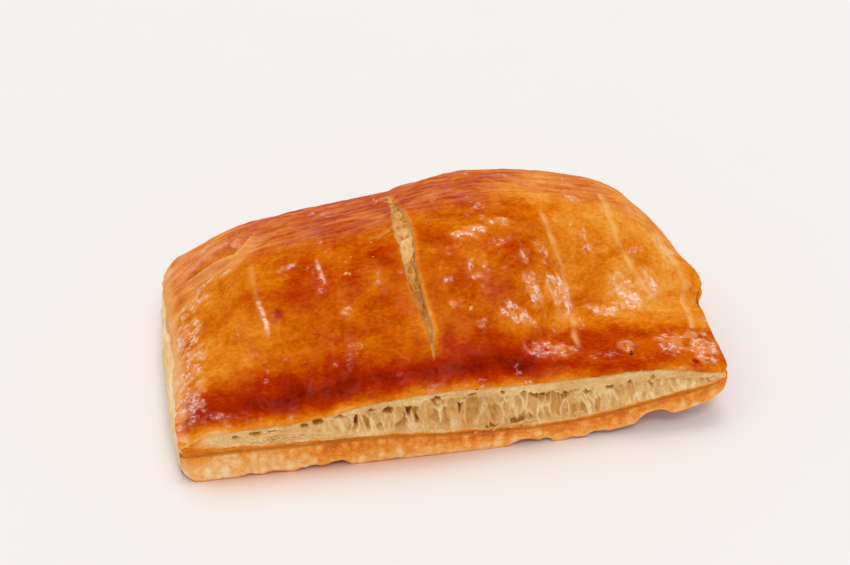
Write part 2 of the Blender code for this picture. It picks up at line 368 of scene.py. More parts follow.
CREASE_ROUNDS = 90
distance = np.cumsum(np.linalg.norm(np.diff(crust_base, axis=1, prepend=crust_base[:, :1]), axis=2),
                     axis=1)
near_crease = rise(distance, 2.4, 5.0) * (1.0 - rise(crust_base[..., 1], 5.0, 15.0))
crust_base = relax(crust_base, near_crease, CREASE_ROUNDS)
print(f"crust grid {crust_base.shape[0]} by {crust_base.shape[1]}, stations from "
      f"{np.diff(crust_x).min():.2f} to {np.diff(crust_x).max():.2f} mm apart")

# %% [markdown]
# ## The crust: its relief
# On the real roll the crust swells and dimples gently, blisters in patches where the egg
# wash pooled, and has knife scores that healed to pale lines. One score burst open. Each
# of these is a height above the smooth form, or a mask of where the dough shows paler.

# %% Slash, scores and patches
SLASH_BACK, SLASH_FRONT = 21.5, -31.5
SLASH_X = (-8.1, -7.9, -7.3, -7.1, -6.8, -6.9, -6.1, -4.4, -3.4)
SLASH_HALF = (0.2, 0.7, 1.8, 2.4, 2.2, 1.8, 1.6, 1.0, 0.2)
SLASH_DEPTH = (0.5, 1.4, 1.9, 2.2, 3.0, 3.6, 3.6, 2.4, 0.5)
SIDE_CRACK = ((-9.5, 3.5), (-12.3, 2.0), (-13.9, 0.7), (-15.5, 1.2), (-17.5, -1.0))
RIGHT_STEP = 0.8
# The loose fold at the back left: the line of its edge, from the corner inwards.
FOLD_EDGE = ((-72.5, 19.5), (-69.5, 18.0), (-65.4, 16.4), (-60.8, 15.2), (-57.8, 14.4), (-55.0, 12.8),
             (-53.0, 11.7), (-50.9, 12.6), (-48.4, 15.2), (-46.5, 19.5))
# Wet wrinkles that stand up like little ridges, with a painted highlight along their crests.
RIDGES = (((-63.3, 8.3), (-60.0, 9.5), (-56.5, 11.1)), ((-58.3, 7.0), (-56.4, 7.4), (-54.4, 8.5)),
          ((-31.7, -1.8), (-30.9, -6.3), (-30.0, -11.5)), ((-49.0, -8.5), (-47.4, -14.5), (-46.6, -20.5)),
          ((24.0, -30.0), (29.5, -28.6), (33.5, -26.0)), ((33.2, -10.8), (35.6, -13.8), (36.4, -18.0)))
FOLD_DROP = 2.5

# Healed scores: from the back to the front, as (along, across) pairs.
SCORES = {
    "left": ((-49.1, 4.0), (-49.0, -6.2), (-47.8, -14.6), (-47.4, -20.0)),
    "middle": ((31.3, 2.5), (33.4, -5.4), (35.4, -9.3), (37.0, -15.0), (36.7, -29.0)),
    "right": ((52.2, 16.5), (52.0, 5.0), (53.6, -2.5), (57.5, -7.5), (63.7, -12.0)),
    "end": ((68.6, 13.8), (69.2, 1.3), (70.5, -8.0), (71.5, -15.8), (70.7, -23.0)),
}
SCORE_STRENGTH = {"left": 0.40, "middle": 1.0, "right": 1.4, "end": 1.2}
# Blistered, glossy patches: (along, across, half length, half width, strength).
BLISTERS = ((-68.5, -5.0, 4.5, 6.0, 1.0), (-68.5, -16.0, 4.0, 6.0, 1.1), (-69.0, -27.0, 3.8, 6.0, 1.2),
            (-66.0, 5.0, 5.0, 4.0, 0.8), (10.0, -5.0, 4.5, 1.6, 1.2), (19.5, -2.8, 3.5, 1.2, 1.0),
            (20.5, -22.0, 4.5, 1.3, 1.2), (26.0, -16.2, 2.4, 2.6, 1.2), (34.0, -14.2, 3.4, 2.3, 1.3),
            (24.5, -11.5, 3.0, 2.5, 0.6), (29.0, -28.0, 6.5, 2.6, 1.2), (47.0, -15.2, 4.2, 1.3, 1.1),
            (10.5, -14.5, 3.0, 2.5, 0.6), (54.5, -12.0, 4.2, 3.0, 1.2), (61.8, -8.5, 2.6, 2.6, 1.1),
            (50.5, -29.0, 3.0, 2.5, 0.8), (62.8, -28.0, 4.2, 4.0, 1.2), (70.8, -29.0, 3.8, 5.2, 1.3),
            (69.0, 2.0, 3.0, 6.0, 0.7), (-39.5, -2.5, 3.0, 1.3, 0.8), (-62.0, -35.0, 8.0, 2.0, 0.5),
            (42.0, 9.0, 5.0, 1.6, 0.7), (3.5, -21.0, 1.6, 1.2, 0.9))
# Darker spots: (along, across, radius, how much browner).
SPOTS = ((-43.5, -15.1, 1.1, 0.26), (-12.0, -23.0, 5.0, 0.10), (-22.5, -13.0, 4.0, 0.10), (0.5, -27.0, 2.2, 0.16), (23.0, -9.5, 5.0, 0.08),
         (-36.0, -12.0, 5.0, 0.06), (-14.0, -7.0, 3.5, 0.07), (67.5, -34.5, 0.8, 0.4), (71.5, -34.0, 0.6, 0.4))


def slash_place(x, y):
    """Distance from the slash's middle in half widths, and the depth there."""
    share = (SLASH_BACK - y) / (SLASH_BACK - SLASH_FRONT)
    inside = rise(share, -0.01, 0.02) * (1.0 - rise(share, 0.98, 1.01))
    ragged = 0.35 * noise(y, x * 0.4 + 5.0, 2.2, 11) + 0.20 * noise(y, x * 0.5, 0.7, 12)
    half = np.maximum(spline(SLASH_HALF, share) * (1.0 + 0.15 * noise(y, 0 * y, 2.5, 13)), 0.05)
    offset = (x - spline(SLASH_X, share) - ragged * inside) / half
    return offset, spline(SLASH_DEPTH, share) * inside, half * inside


def line_distance(x, y, path):
    """Distance from a bent line in mm, the share of the way along it, and which side."""
    best, place, side = (np.full(x.shape, start) for start in (1e3, 0.0, 0.0))
    path = np.asarray(path, float)
    for k, (start, end) in enumerate(zip(path[:-1], path[1:])):
        step = end - start
        away_x, away_y = x - start[0], y - start[1]
        share = np.clip((away_x * step[0] + away_y * step[1]) / (step @ step), 0.0, 1.0)
        gap = np.hypot(away_x - share * step[0], away_y - share * step[1])
        closer = gap < best
        place = np.where(closer, (k + share) / (len(path) - 1), place)
        side = np.where(closer, np.sign(step[0] * away_y - step[1] * away_x), side)
        best = np.where(closer, gap, best)
    return best, place, side


def patch_mask(x, y):
    """How blistered the crust is, from 0 to 1: soft ovals broken up by noise."""
    total = np.zeros(x.shape)
    for along_x, across, length, width, strength in BLISTERS:
        oval = ((x - along_x) / length) ** 2 + ((y - across) / width) ** 2
        oval = oval / 1.3
        total = np.maximum(total, strength * np.exp(-oval))
    torn = 1.1 * layered(x * 0.8 - y * 0.4, y + x * 0.4, 2.2, 21)
    return rise(total * (1.0 + torn), 0.22, 0.95)


# %% Crust relief
def crust_relief(points):
    """Height above the smooth form in mm, and masks of what the crust shows, a painted sheen among them."""
    x, y, z = points[..., 0], points[..., 1], points[..., 2]
    run = np.cumsum(np.linalg.norm(np.diff(points, axis=1, prepend=points[:, :1]), axis=2), axis=1)
    m = {key: value[:, None] for key, value in main_lines(points[:, 0, 0]).items()}
    top = (run > 1.0) & (z > 12.0)
    height = 0.45 * noise(x, run, 26.0, 1) + 0.30 * noise(x, run, 9.0, 2)
    height += 0.10 * layered(x, run, 3.2, 3)
    height += RIGHT_STEP * rise(x, -7.5, -4.0) * (1.0 - rise(x, 2.0, 30.0)) * rise(y, -25.0, 0.0)

    blister = patch_mask(x, np.where(z > 10.0, y, 60.0))
    slant = x * 0.5 - run * 0.85
    wrinkles = noise(slant, (x * 0.85 + run * 0.5) * 0.3, 1.3, 31)
    height += blister * (0.10 + 0.24 * wrinkles + 0.14 * layered(x, run, 1.3, 34))
    # Painted highlight along the crests of the wet ridges.
    painted_highlight = np.zeros(x.shape)
    for path in RIDGES:
        gap, place, side = line_distance(x + 0.5 * noise(x, y, 2.5, 35), y, path)
        there = rise(place, 0.0, 0.2) * (1.0 - rise(place, 0.8, 1.0)) * top
        height += there * (0.40 * hill(gap, 0.0, 0.55) - 0.12 * hill(gap, 1.4, 0.7))
        blister = np.maximum(blister, there * hill(gap, 0.0, 0.7))
        dashes = rise(noise(x, y, 1.3, 36), -0.35, 0.15)
        painted_highlight = np.maximum(painted_highlight, 1.4 * there * dashes * hill(gap, 0.0, 0.42))

    behind = rise(y - m["crest_y"], -3.0, 6.0) * rise(z, 14.0, 22.0)
    height += behind * (0.22 * layered(x * 0.10, run, 1.6, 41) + 0.12 * noise(x * 0.2, run, 0.8, 43))
    height -= 0.6 * hill(y, m["foot_y"] + 1.0, 2.2) * rise(x, 60.0, 71.0)

    gap, place, side = line_distance(x + noise(y, x, 3.0, 45), y, FOLD_EDGE)
    fade = rise(place, 0.04, 0.30) * (1.0 - rise(place, 0.86, 1.0)) * (z > 20.0)
    behind_edge = side > 0
    wide = 2.4 + 2.6 * hill(place, 0.45, 0.22)
    drop = rise(gap, 0.0, 0.4) * (1.0 - rise(gap / wide, 0.35, 1.0))
    rim = 1.2 * hill(gap, wide + 1.5, 2.2)
    flap = 0.7 * hill(gap, 0.4, 0.8) - 0.9 * hill(gap, 3.0, 2.5)
    height += fade * np.where(behind_edge, rim - FOLD_DROP * drop, flap)
    pocket = fade * np.where(behind_edge, rise(gap, 0.1, 0.6) * (1.0 - rise(gap / wide, 0.6, 0.9)), 0.0)
    blister = np.maximum(blister, 0.5 * fade * behind_edge * hill(gap, wide, 1.1))
    # A painted highlight in a band just past the fold's pocket.
    painted_highlight = np.maximum(painted_highlight, 0.7 * fade * behind_edge * hill(gap, wide + 0.3, 0.8))
    under_fold = np.where(behind_edge, 1.0, 0.2)

    bare = fade * np.where(behind_edge, 0.0, 0.9 * hill(gap, 0.0, 0.7) + 0.40 * hill(gap, 2.2, 2.0))
    for seed, (name, path) in enumerate(SCORES.items()):
        wander = 0.45 * noise(x * 0.3, y, 3.5, 50 + seed)
        gap, place, side = line_distance(x + wander, y, path)
        fade = SCORE_STRENGTH[name] * rise(place, 0.0, 0.06) * (1.0 - rise(place, 0.94, 1.0))
        fade = fade * np.clip(0.6 + 0.9 * noise(y, x * 0.2, 3.0, 60 + seed), 0.0, 1.2) * top
        height += fade * (0.16 * hill(gap, 1.3, 0.6) - 0.28 * hill(gap, 0.0, 0.5))
        bare = np.maximum(bare, np.minimum(fade, 1.0) * hill(gap, 0.0, 0.8))
    gap, place, side = line_distance(x, y + 0.3 * noise(x, y, 1.5, 66), SIDE_CRACK)
    crack = hill(gap, 0.0, 0.32) * (1.0 - rise(place, 0.5, 1.0)) * top
    height -= 0.9 * crack

    offset, depth, half = slash_place(x, y)
    on_top = top & (z > 20.0)
    wall = rise(1.0 - np.abs(offset), 0.0, 0.35)
    outside = (np.abs(offset) - 1.0) * half
    rim = 0.45 * hill(outside, 0.35, 0.5) * rise(half, 0.1, 1.0)
    height += on_top * (rim * (1.0 + 0.7 * noise(y, x, 1.6, 71)) - depth * wall)
    slash = on_top * rise(1.05 - np.abs(offset), 0.0, 0.15) * rise(depth, 0.2, 0.8)
    left_halo = np.where(offset < 0, 0.5 * hill(outside, 0.4, 1.2) * rise(-y, -8.0, 14.0), 0.0)
    right_halo = np.where(offset > 0, hill(outside, 0.2, 0.9), 0.0)
    halo = on_top * rise(half, 0.05, 0.6) * np.maximum(left_halo, right_halo)
    blister = np.maximum(blister, 0.2 * behind)
    # Painted sheen: a pale pink colour laid along the back, at the back left corner, on the left rim, in the
    # glossy patches and on the wet ridges.
    edge = 1.0 - rise(x + 1.2 * noise(x, run, 4.0, 72), LEFT_EDGE + 0.5, LEFT_EDGE + 4.0)
    streaks = rise(layered(x * 0.12, run, 1.1, 73), -0.35, 0.45)
    corner = rise(-x, 56.0, 66.0) * rise(y, 8.0, 20.0) * under_fold
    painted_sheen = np.maximum(0.38 * behind, np.maximum(0.75 * corner, 1.0 * edge) * top) * (0.15 + 0.85 * streaks)
    painted_sheen = np.maximum(painted_sheen, 0.30 * patch_mask(x, y) * top) * (1.0 - pocket)
    painted_sheen = np.maximum(painted_sheen, painted_highlight)
    masks = {"painted_sheen": np.clip(painted_sheen, 0.0, 1.4), "rim": edge * top, "bare": bare, "blister": blister, "slash": np.maximum(slash, 0.8 * crack),
             "pocket": pocket, "halo": halo, "behind": behind}
    return height, masks, run


def end_bulge(above_foot, y):
    """How far the right end stands out: a bulge that grows up the hump's front, from its foot."""
    return 5.0 * rise(above_foot, -0.6, 3.2) * rise(-y, -11.0, 9.0)


crust_normals = unit_normals(crust_base)
outwards = np.sign(crust_normals[CRUST_STATIONS // 2, CRUST_COLUMNS // 3, 2])
crust_normals *= outwards
relief, crust_masks, run = crust_relief(crust_base)
ends = rise(run, 0.0, 1.5) * rise(run[:, -1:] - run, 0.0, 6.0)
crust_skin = crust_base + crust_normals * (relief * ends)[..., None]
edge_wave = 0.9 * noise(run, 3.0, 7.0, 87) + 0.5 * noise(run, 8.0, 2.6, 88)
crust_skin[..., 0] += edge_wave * (1.0 - rise(crust_base[..., 0], LEFT_EDGE, LEFT_EDGE + 5.0))
above_foot = crust_skin[..., 2] - main_lines(crust_x)["foot_z"][:, None]
near_end = rise(crust_skin[..., 0], RIGHT_EDGE - 11.0, RIGHT_EDGE)
crust_skin[..., 0] += end_bulge(above_foot, crust_skin[..., 1]) * near_end
lip_tears = 0.30 * noise(crust_base[..., 0], 2.0, 2.4, 89) + 0.22 * noise(crust_base[..., 0], 5.0, 0.8, 90)
crust_skin[..., 2] += lip_tears * (1.0 - rise(run, 1.2, 3.2))
crust_skin[..., 0] -= 1.4 * (1.0 - rise(run, 0.5, 3.5)) * rise(crust_base[..., 0], RIGHT_EDGE - 3.0, RIGHT_EDGE)
crust_skin = reach_out(crust_skin)
print(f"relief from {relief.min():.2f} to {relief.max():.2f} mm")


# %% Crust browning
LEVEL_STEP = 2.0
# On the narrow flange the crease above it is darkest, as browning and painted shade together.
NARROW_LEVELS = (0.36, 0.54, 0.75, 0.88, 0.90, 0.84, 0.78, 0.73, 0.68, 0.63)
WIDE_LEVELS = (0.52, 0.70, 0.74, 0.74, 0.73, 0.72, 0.70, 0.72, 0.71, 0.64, 0.56, 0.53, 0.55)


def crust_browning(points, masks):
    """How brown the crust is, 0 raw dough to 1 nearly burnt, with painted shade and light in it: darker in the
    crease, paler in the glossy patches and the fold's pocket.
    """
    x, y, z = points[..., 0], points[..., 1], points[..., 2]
    wander = run + 1.2 * noise(x, run, 9.0, 84)
    narrow = spline(NARROW_LEVELS, wander / LEVEL_STEP / (len(NARROW_LEVELS) - 1))
    wide = spline(WIDE_LEVELS, wander / LEVEL_STEP / (len(WIDE_LEVELS) - 1))
    level = narrow + (wide - narrow) * rise(x, 18.0, 34.0)
    level += 0.07 * noise(x, run, 20.0, 81) + 0.07 * layered(x, run, 8.0, 82)
    for along_x, across, radius, browner in SPOTS:
        level += browner * np.exp(-((x - along_x) ** 2 + (y - across) ** 2) / radius ** 2) * (z > 15.0)
    level -= 0.20 * masks["rim"] + 0.09 * rise(-x, 40.0, 68.0) + 0.09 * rise(x, 35.0, 70.0) * (1.0 - rise(-y, 10.0, 25.0))
    level -= 0.25 * (1.0 - rise(z, 2.0, 16.0)) * rise(y, 0.0, 20.0)
    level += masks["behind"] * (0.12 * layered(x * 0.12, run, 1.8, 86) + 0.01 + 0.06 * hill(x, -17.0, 16.0))
    # Paler in the glossy patches: a painted reflection between the glints.
    level -= 0.08 * masks["blister"] * (1.0 - masks["behind"])
    level -= 0.14 * masks["halo"] + 0.07 * rise(x, 48.0, 66.0) * rise(-y, 16.0, 24.0)
    # The fold's pocket is set paler: painted light lifting it against its own shade.
    return level + (0.45 - level) * masks["pocket"]


browning = crust_browning(crust_base, crust_masks)

# %% Build the crust
RETURN_STEPS = 8
# The crust's own rim at each end: how far each ring is shrunk, and pushed out, in mm.
RIM_RINGS = ((0.35, 0.30), (0.9, 0.48), (1.5, 0.35), (1.9, -0.2), (2.2, -2.0))


def closed_crust():
    """The skin, closed through the inside of the roll and rounded in at both ends."""
    m = main_lines(crust_x)
    share = np.linspace(0.0, 1.0, RETURN_STEPS)[None, :]
    start_y, end_y = crust_skin[:, -1, 1] - 2.0, np.full(CRUST_STATIONS, FRONT + 6.0)
    inner_y = start_y[:, None] + (end_y - start_y)[:, None] * share
    start_z, end_z = crust_skin[:, -1, 2] + 1.5, m["lip"] - 2.2
    inner_z = start_z[:, None] + (end_z - start_z)[:, None] * share
    inner_x = np.broadcast_to(crust_x[:, None], inner_y.shape)
    inner = np.stack([inner_x, inner_y, inner_z], axis=2)
    rings = np.concatenate([crust_skin, inner], axis=1)
    caps = []
    for ring, side in ((rings[0], -1.0), (rings[-1], 1.0)):
        middle = (ring.max(axis=0) + ring.min(axis=0)) / 2
        away = ring - middle
        inward = away / np.linalg.norm(away, axis=1, keepdims=True)
        turned = [ring - inward * shrink + [side * out, 0.0, 0.0] for shrink, out in RIM_RINGS]
        caps.append((np.stack(turned), middle - [side * 2.0, 0.0, 0.0]))
    rings = np.concatenate([caps[0][0][::-1], rings, caps[1][0]], axis=0)
    return rings, caps[0][1], caps[1][1]


def fill_rings(values):
    """Values of the skin carried onto the inner columns and the rounded ends."""
    inner = np.repeat(values[:, -1:], RETURN_STEPS, axis=1)
    whole = np.concatenate([values, inner], axis=1)
    spread = len(RIM_RINGS)
    return np.concatenate([whole[:1]] * spread + [whole] + [whole[-1:]] * spread, axis=0)


crust_rings, left_pole, right_pole = closed_crust()
shown = {"browning": browning, "bare": crust_masks["bare"], "slash": crust_masks["slash"],
         "blister": crust_masks["blister"], "painted_sheen": crust_masks["painted_sheen"]}
crust = tube_mesh("crust", crust_rings, left_pole, right_pole,
                  {key: fill_rings(value) for key, value in shown.items()})
print(f"crust has {len(crust.data.polygons)} faces")

# %% [markdown]
# ## Inside the slash
# The burst score shows crumb just under the crust: webbed and pale at the back, with one
# loose whitish flap, and a browner channel towards the front. It is a small sheet of
# relief laid under the crust, which only shows where the crust has opened.

# %% Crumb in the slash
CRUMB_ACROSS, CRUMB_ALONG = 110, 420
CRUMB_DEPTH = (0.3, 0.4, 0.4, 0.4, 0.8, 1.5, 2.0, 1.7, 0.8)


def skin_height(x_rows, y_columns):
    """Height of the smooth crust over a rectangle of places, read from its sections."""
    near = np.abs(crust_x[:, None] - x_rows[None, :]).argmin(axis=0)
    last = [np.argmax(crust_base[k, :, 1]) for k in near]
    rows = [np.interp(y_columns, crust_base[k, 12:end, 1], crust_base[k, 12:end, 2])
            for k, end in zip(near, last)]
    return np.stack(rows)


def slash_crumb_piece():
    """The crumb's relief: cells and shreds at a depth that follows the slash."""
    x_rows = np.linspace(SLASH_X[0] - 4.5, SLASH_X[-1] + 1.8, CRUMB_ACROSS)
    y_columns = np.linspace(SLASH_FRONT - 1.0, SLASH_BACK + 2.0, CRUMB_ALONG)
    x, y = np.meshgrid(x_rows, y_columns, indexing="ij")
    share = (SLASH_BACK - y) / (SLASH_BACK - SLASH_FRONT)
    depth = spline(CRUMB_DEPTH, share)
    near, second, luck = cells(x + 0.5 * noise(x, y, 1.5, 91), y, 1.4, 92, 1.5)
    web = 1.0 - rise(second - near, 0.05, 0.35)
    relief = 0.8 * luck * (1.0 - web) + 0.35 * layered(x, y, 1.2, 93)
    flap = rise(1.0 - ((x + 7.0) / 2.4) ** 2 - ((y + 5.6 - 0.7 * (x + 7.0)) / 3.8) ** 4
                + 0.45 * noise(x, y, 1.7, 94), 0.0, 0.25)
    folds = 0.35 * noise(x, y * 0.25, 0.8, 95) + 0.25 * noise(x * 0.5 + y, x, 1.6, 96)
    z = skin_height(x_rows, y_columns) - depth - relief * (1.0 - flap)
    z = z + flap * (depth * 0.6 - 0.1 + folds)
    # Browner in the cells, which sink deeper than the webs: painted shade.
    level = 0.34 + 0.24 * rise(share, 0.42, 0.75) + 0.24 * (1.0 - web) * luck - 0.20 * flap
    surface = np.stack([x, y, z], axis=2)
    under = np.linspace(1.0, 0.0, 8)[None, :]
    floor_y = y_columns[0] + (y_columns[-1] - y_columns[0]) * under + 0.0 * x[:, :1]
    floor_z = np.interp(floor_y[0], y_columns, z.min(axis=0))[None, :] - 1.5 + 0.0 * x[:, :1]
    back = np.stack([np.broadcast_to(x[:, :1], floor_y.shape), floor_y, floor_z], axis=2)
    rings = np.concatenate([surface, back], axis=1)
    padded = np.pad(level, ((0, 0), (0, 8)), mode="edge")
    return tube_mesh("slash_crumb", rings, rings[0].mean(axis=0), rings[-1].mean(axis=0),
                     {"browning": padded})


slash_crumb = slash_crumb_piece()
print(f"slash crumb: {len(slash_crumb.data.polygons)} faces")

# %% [markdown]
# ## The bottom sheet
# The sheet under the roll shows as a band along the front, about 6 to 10 mm high. It lay
# on the tray, so its lower edge is wavy where it stuck and let go. It could be extruded
# and displaced, but here each section is drawn directly: up the band, in under the layers,
# and back along the underside, so the waves are part of its formula.

# %% Bottom sheet surface
SHEET_STATIONS, SHEET_BAND, SHEET_UNDER, SHEET_INSIDE = 620, 60, 34, 10
SHEET_CORNER, SHEET_INSET, SHEET_FOOT, TIP_LENGTH = 3.5, 0.9, 1.2, 8.0


def sheet_waves(x):
    """How far the lower edge is lifted at x, in mm: long waves with short bumps on them."""
    long_wave = 1.6 * noise(x, 3.0, 12.0, 101) + 1.8 * noise(x, 7.0, 5.0, 102) - 0.3
    long_wave += 2.2 * hill(x, 57.0, 5.0) + 1.0 * hill(x, 28.0, 4.0) + 1.4 * hill(x, 18.0, 4.0)
    long_wave -= 1.3 * hill(x, -2.5, 4.0) + 1.6 * hill(x, 8.5, 4.0)
    return long_wave * (0.7 + 0.3 * rise(x, 0.0, 40.0)) + 0.3 * noise(x, 1.0, 1.8, 103)


def sheet_rings(x):
    """Closed sections of the bottom sheet, and the share of the way up its front band."""
    m = {key: value[:, None] for key, value in main_lines(x).items()}
    wave = sheet_waves(x)[:, None]
    share = np.linspace(0.0, 1.0, SHEET_BAND)[None, :]
    foot = SHEET_FOOT * rise(wave, -0.3, 1.5)
    bulge = SHEET_INSET * share ** 3 + foot * (1.0 - share) ** 8 - 0.7 * hill(share, 0.15, 0.25)
    corner = quarter((LEFT_EDGE + SHEET_CORNER - x[:, None]) / SHEET_CORNER, 2.0)
    band_y = FRONT + bulge + SHEET_CORNER * (1.0 - corner) * (1.0 - share ** 3)
    lift = (np.maximum(wave, -0.3) + 1.0 * (1.0 - corner)) * (1.0 - share) ** 2
    tall = m["sheet_top"] - m["sheet_base"] - 0.1
    band_z = m["sheet_base"] + 0.1 + lift + tall * share
    bumps = 0.6 * noise(x[:, None], band_z, 3.4, 104) + 0.25 * layered(x[:, None], band_z, 1.5, 105)
    folds = 0.35 * noise(x[:, None] * 0.25, band_z + 0.3 * wave, 1.4, 106)
    band_y = band_y - (bumps + folds * rise(x[:, None], -20.0, 40.0)) * np.sin(math.pi * share)

    share = np.linspace(0.0, 1.0, SHEET_INSIDE + 1)[None, 1:]
    inside_y = band_y[:, -1:] + 16.0 * share
    inside_z = m["sheet_top"] - 0.6 - 2.0 * share
    share = np.linspace(0.0, 1.0, SHEET_UNDER)[None, :]
    under_y = m["back"] - 6.0 + (band_y[:, :1] + 0.8 - m["back"] + 6.0) * share
    grain = 0.25 * layered(x[:, None], under_y, 7.0, 107)
    under_z = curl(x[:, None], under_y) + 0.35 + grain * np.sin(math.pi * share)
    front_lift = (np.maximum(wave, -0.1) - 0.25) * np.clip(share * 3.0 - 2.0, 0.0, 1.0) ** 2
    under_z = np.maximum(under_z + front_lift, curl(x[:, None], under_y) + 0.02)
    y = np.concatenate([band_y, inside_y, under_y], axis=1)
    z = np.concatenate([band_z, inside_z, under_z], axis=1)
    tip = quarter((x[:, None] - RIGHT_EDGE - 0.9 + TIP_LENGTH) / TIP_LENGTH, 2.0)
    y = y + 5.0 * (1.0 - tip) * (1.0 - rise(y, FRONT + 4.0, FRONT + 20.0))
    z = z + 4.0 * (1.0 - tip) * (1.0 - rise(z, m["sheet_base"], m["sheet_top"]))
    height = np.zeros(y.shape)
    height[:, :SHEET_BAND] = np.linspace(0.0, 1.0, SHEET_BAND)
    height[:, SHEET_BAND:SHEET_BAND + SHEET_INSIDE] = 1.0
    return np.stack([np.broadcast_to(x[:, None], y.shape), y, z], axis=2), height


sheet_x = np.linspace(LEFT_EDGE - 0.4, RIGHT_EDGE + 0.9, SHEET_STATIONS)
sheet_points, sheet_height = sheet_rings(sheet_x)
sheet_points = reach_out(sheet_points)
sheet_level = 0.30 + 0.13 * rise(sheet_points[..., 0], -66.0, -34.0)
# Browner at the band's top edge, where it goes in under the layers: browning and painted shade.
sheet_level += 0.12 * hill(sheet_height, 1.02, 0.06) - 0.10 * hill(sheet_height, 0.14, 0.12)
sheet_level += 0.38 * (1.0 - rise(sheet_height, 0.0, 0.09))
sheet_level += 0.12 * rise(sheet_height, 0.4, 0.9)
base_sheet = tube_mesh("base_sheet", sheet_points, sheet_points[0].mean(axis=0),
                       sheet_points[-1].mean(axis=0),
                       {"browning": sheet_level, "inner": rise(sheet_height, 0.88, 0.97)})
print(f"bottom sheet: {len(base_sheet.data.polygons)} faces, band "
      f"{(sheet_points[:, SHEET_BAND - 1, 2] - sheet_points[:, 0, 2]).mean():.1f} mm high")


# %% [markdown]
# ## The burst edge
# Along the front the sealed edge has split, and the layers that steam pushed apart show.
# Under the lip lies a stack of pale layers with a torn lower edge, then tall cells with
# thin walls between them, then a browner stack. All of it is one relief: a depth behind
# the front for each place along the roll and each share of the way up the mouth.

# %% Depth of the layers
MOUTH_STATIONS, MOUTH_ROWS, MOUTH_INSIDE = 980, 96, 8
UPPER_STACK = (0.9, 1.2, 1.5, 3.4, 3.4, 3.8, 4.8, 4.2, 2.0)
LOWER_STACK = (2.6, 2.8, 2.6, 1.6, 1.3, 1.3, 0.8, 0.5, 0.3)
CELL_WIDTH = (2.5, 2.4, 2.2, 2.6, 3.4, 3.6, 2.2, 2.0, 1.6)
CELL_RECESS = (0.2, 0.3, 0.5, 1.3, 1.7, 1.5, 1.0, 0.7, 0.3)
PIT_DEPTH = (0.4, 0.6, 0.8, 1.5, 1.8, 1.6, 1.3, 1.0, 0.5)
# Holes that go deep between the layers: (along, height, half width, half height, depth).
GAPS = ((-58.1, 12.4, 1.3, 0.6, 1.6), (-52.8, 13.0, 1.8, 0.7, 1.8), (-48.0, 13.3, 1.6, 0.6, 1.6),
        (-40.0, 14.0, 1.2, 0.9, 2.2), (-36.3, 14.6, 1.7, 1.1, 2.6), (-30.5, 15.6, 1.3, 1.0, 2.0),
        (-25.7, 13.0, 0.7, 2.2, 2.2), (-22.0, 16.6, 1.0, 0.8, 2.2), (-17.3, 15.6, 1.6, 1.9, 3.2),
        (-11.4, 14.4, 0.8, 2.2, 3.0), (-8.8, 10.4, 0.8, 0.9, 2.4), (-4.6, 18.2, 1.4, 0.9, 3.0),
        (2.9, 12.5, 0.5, 2.6, 2.4), (5.0, 18.3, 1.2, 0.7, 2.4), (13.6, 17.9, 0.7, 0.8, 2.4),
        (19.3, 16.6, 0.8, 1.2, 2.2), (24.0, 15.0, 2.3, 1.6, 2.0), (31.5, 13.2, 1.0, 1.3, 2.0),
        (12.0, 6.0, 2.5, 0.5, 1.6), (19.5, 6.2, 2.6, 0.6, 1.8),
        (37.5, 14.4, 1.1, 1.1, 1.6), (43.8, 15.2, 1.1, 1.3, 2.2), (49.0, 16.4, 0.8, 1.2, 2.0),
        (55.2, 17.4, 0.7, 0.9, 1.2))
# Thin skins stretched between the layers: (along, height, half width, half height, hollow).
SKINS = ((-6.9, 13.3, 2.3, 3.9, 0.9), (0.7, 12.6, 2.0, 3.7, 1.9), (6.2, 14.6, 2.6, 2.7, 1.7),
         (11.2, 15.3, 2.7, 2.7, 0.7), (16.3, 15.0, 1.9, 2.4, 0.7), (-14.4, 13.2, 1.6, 3.0, 0.9),
         (-20.5, 13.0, 1.8, 2.9, 1.0), (-29.0, 12.9, 2.2, 1.9, 0.9), (34.5, 12.5, 1.9, 2.2, 0.8),
         (40.6, 14.0, 1.6, 2.2, 0.8), (46.4, 15.6, 1.6, 1.9, 0.7))


def stretched_skins(x, z):
    """Hollow of each skin, a bowl in an oval with a thin raised rim, and where skins are."""
    hollow, there = np.zeros(x.shape), np.zeros(x.shape)
    wavy_x = x + 0.45 * noise(x, z, 2.2, 221) - 0.12 * (z - 13.0)
    wavy_z = z + 0.35 * noise(z, x, 1.7, 222)
    for middle, height, half_x, half_z, deep in SKINS:
        oval = 1.0 - ((wavy_x - middle) / half_x) ** 2 - ((wavy_z - height) / half_z) ** 2
        inside = rise(oval, 0.0, 0.12)
        bowl = deep * np.clip(oval, 0.0, 1.0) ** 0.6 - 0.55 * hill(oval, 0.03, 0.09)
        hollow = hollow * (1.0 - inside) + bowl
        there = np.maximum(there, inside)
    return hollow, there


def deep_gaps(x, z):
    """Depth of the listed holes: ovals with ragged outlines and steep sides."""
    depth = np.zeros(x.shape)
    wavy_x = x + 0.5 * noise(x, z, 1.3, 223) - 0.10 * (z - 14.0)
    wavy_z = z + 0.45 * noise(x, z, 0.9, 224)
    for middle, height, half_x, half_z, deep in GAPS:
        oval = 1.0 - ((wavy_x - middle) / half_x) ** 2 - ((wavy_z - height) / half_z) ** 2
        depth = np.maximum(depth, deep * rise(oval, -0.1, 0.5))
    return depth


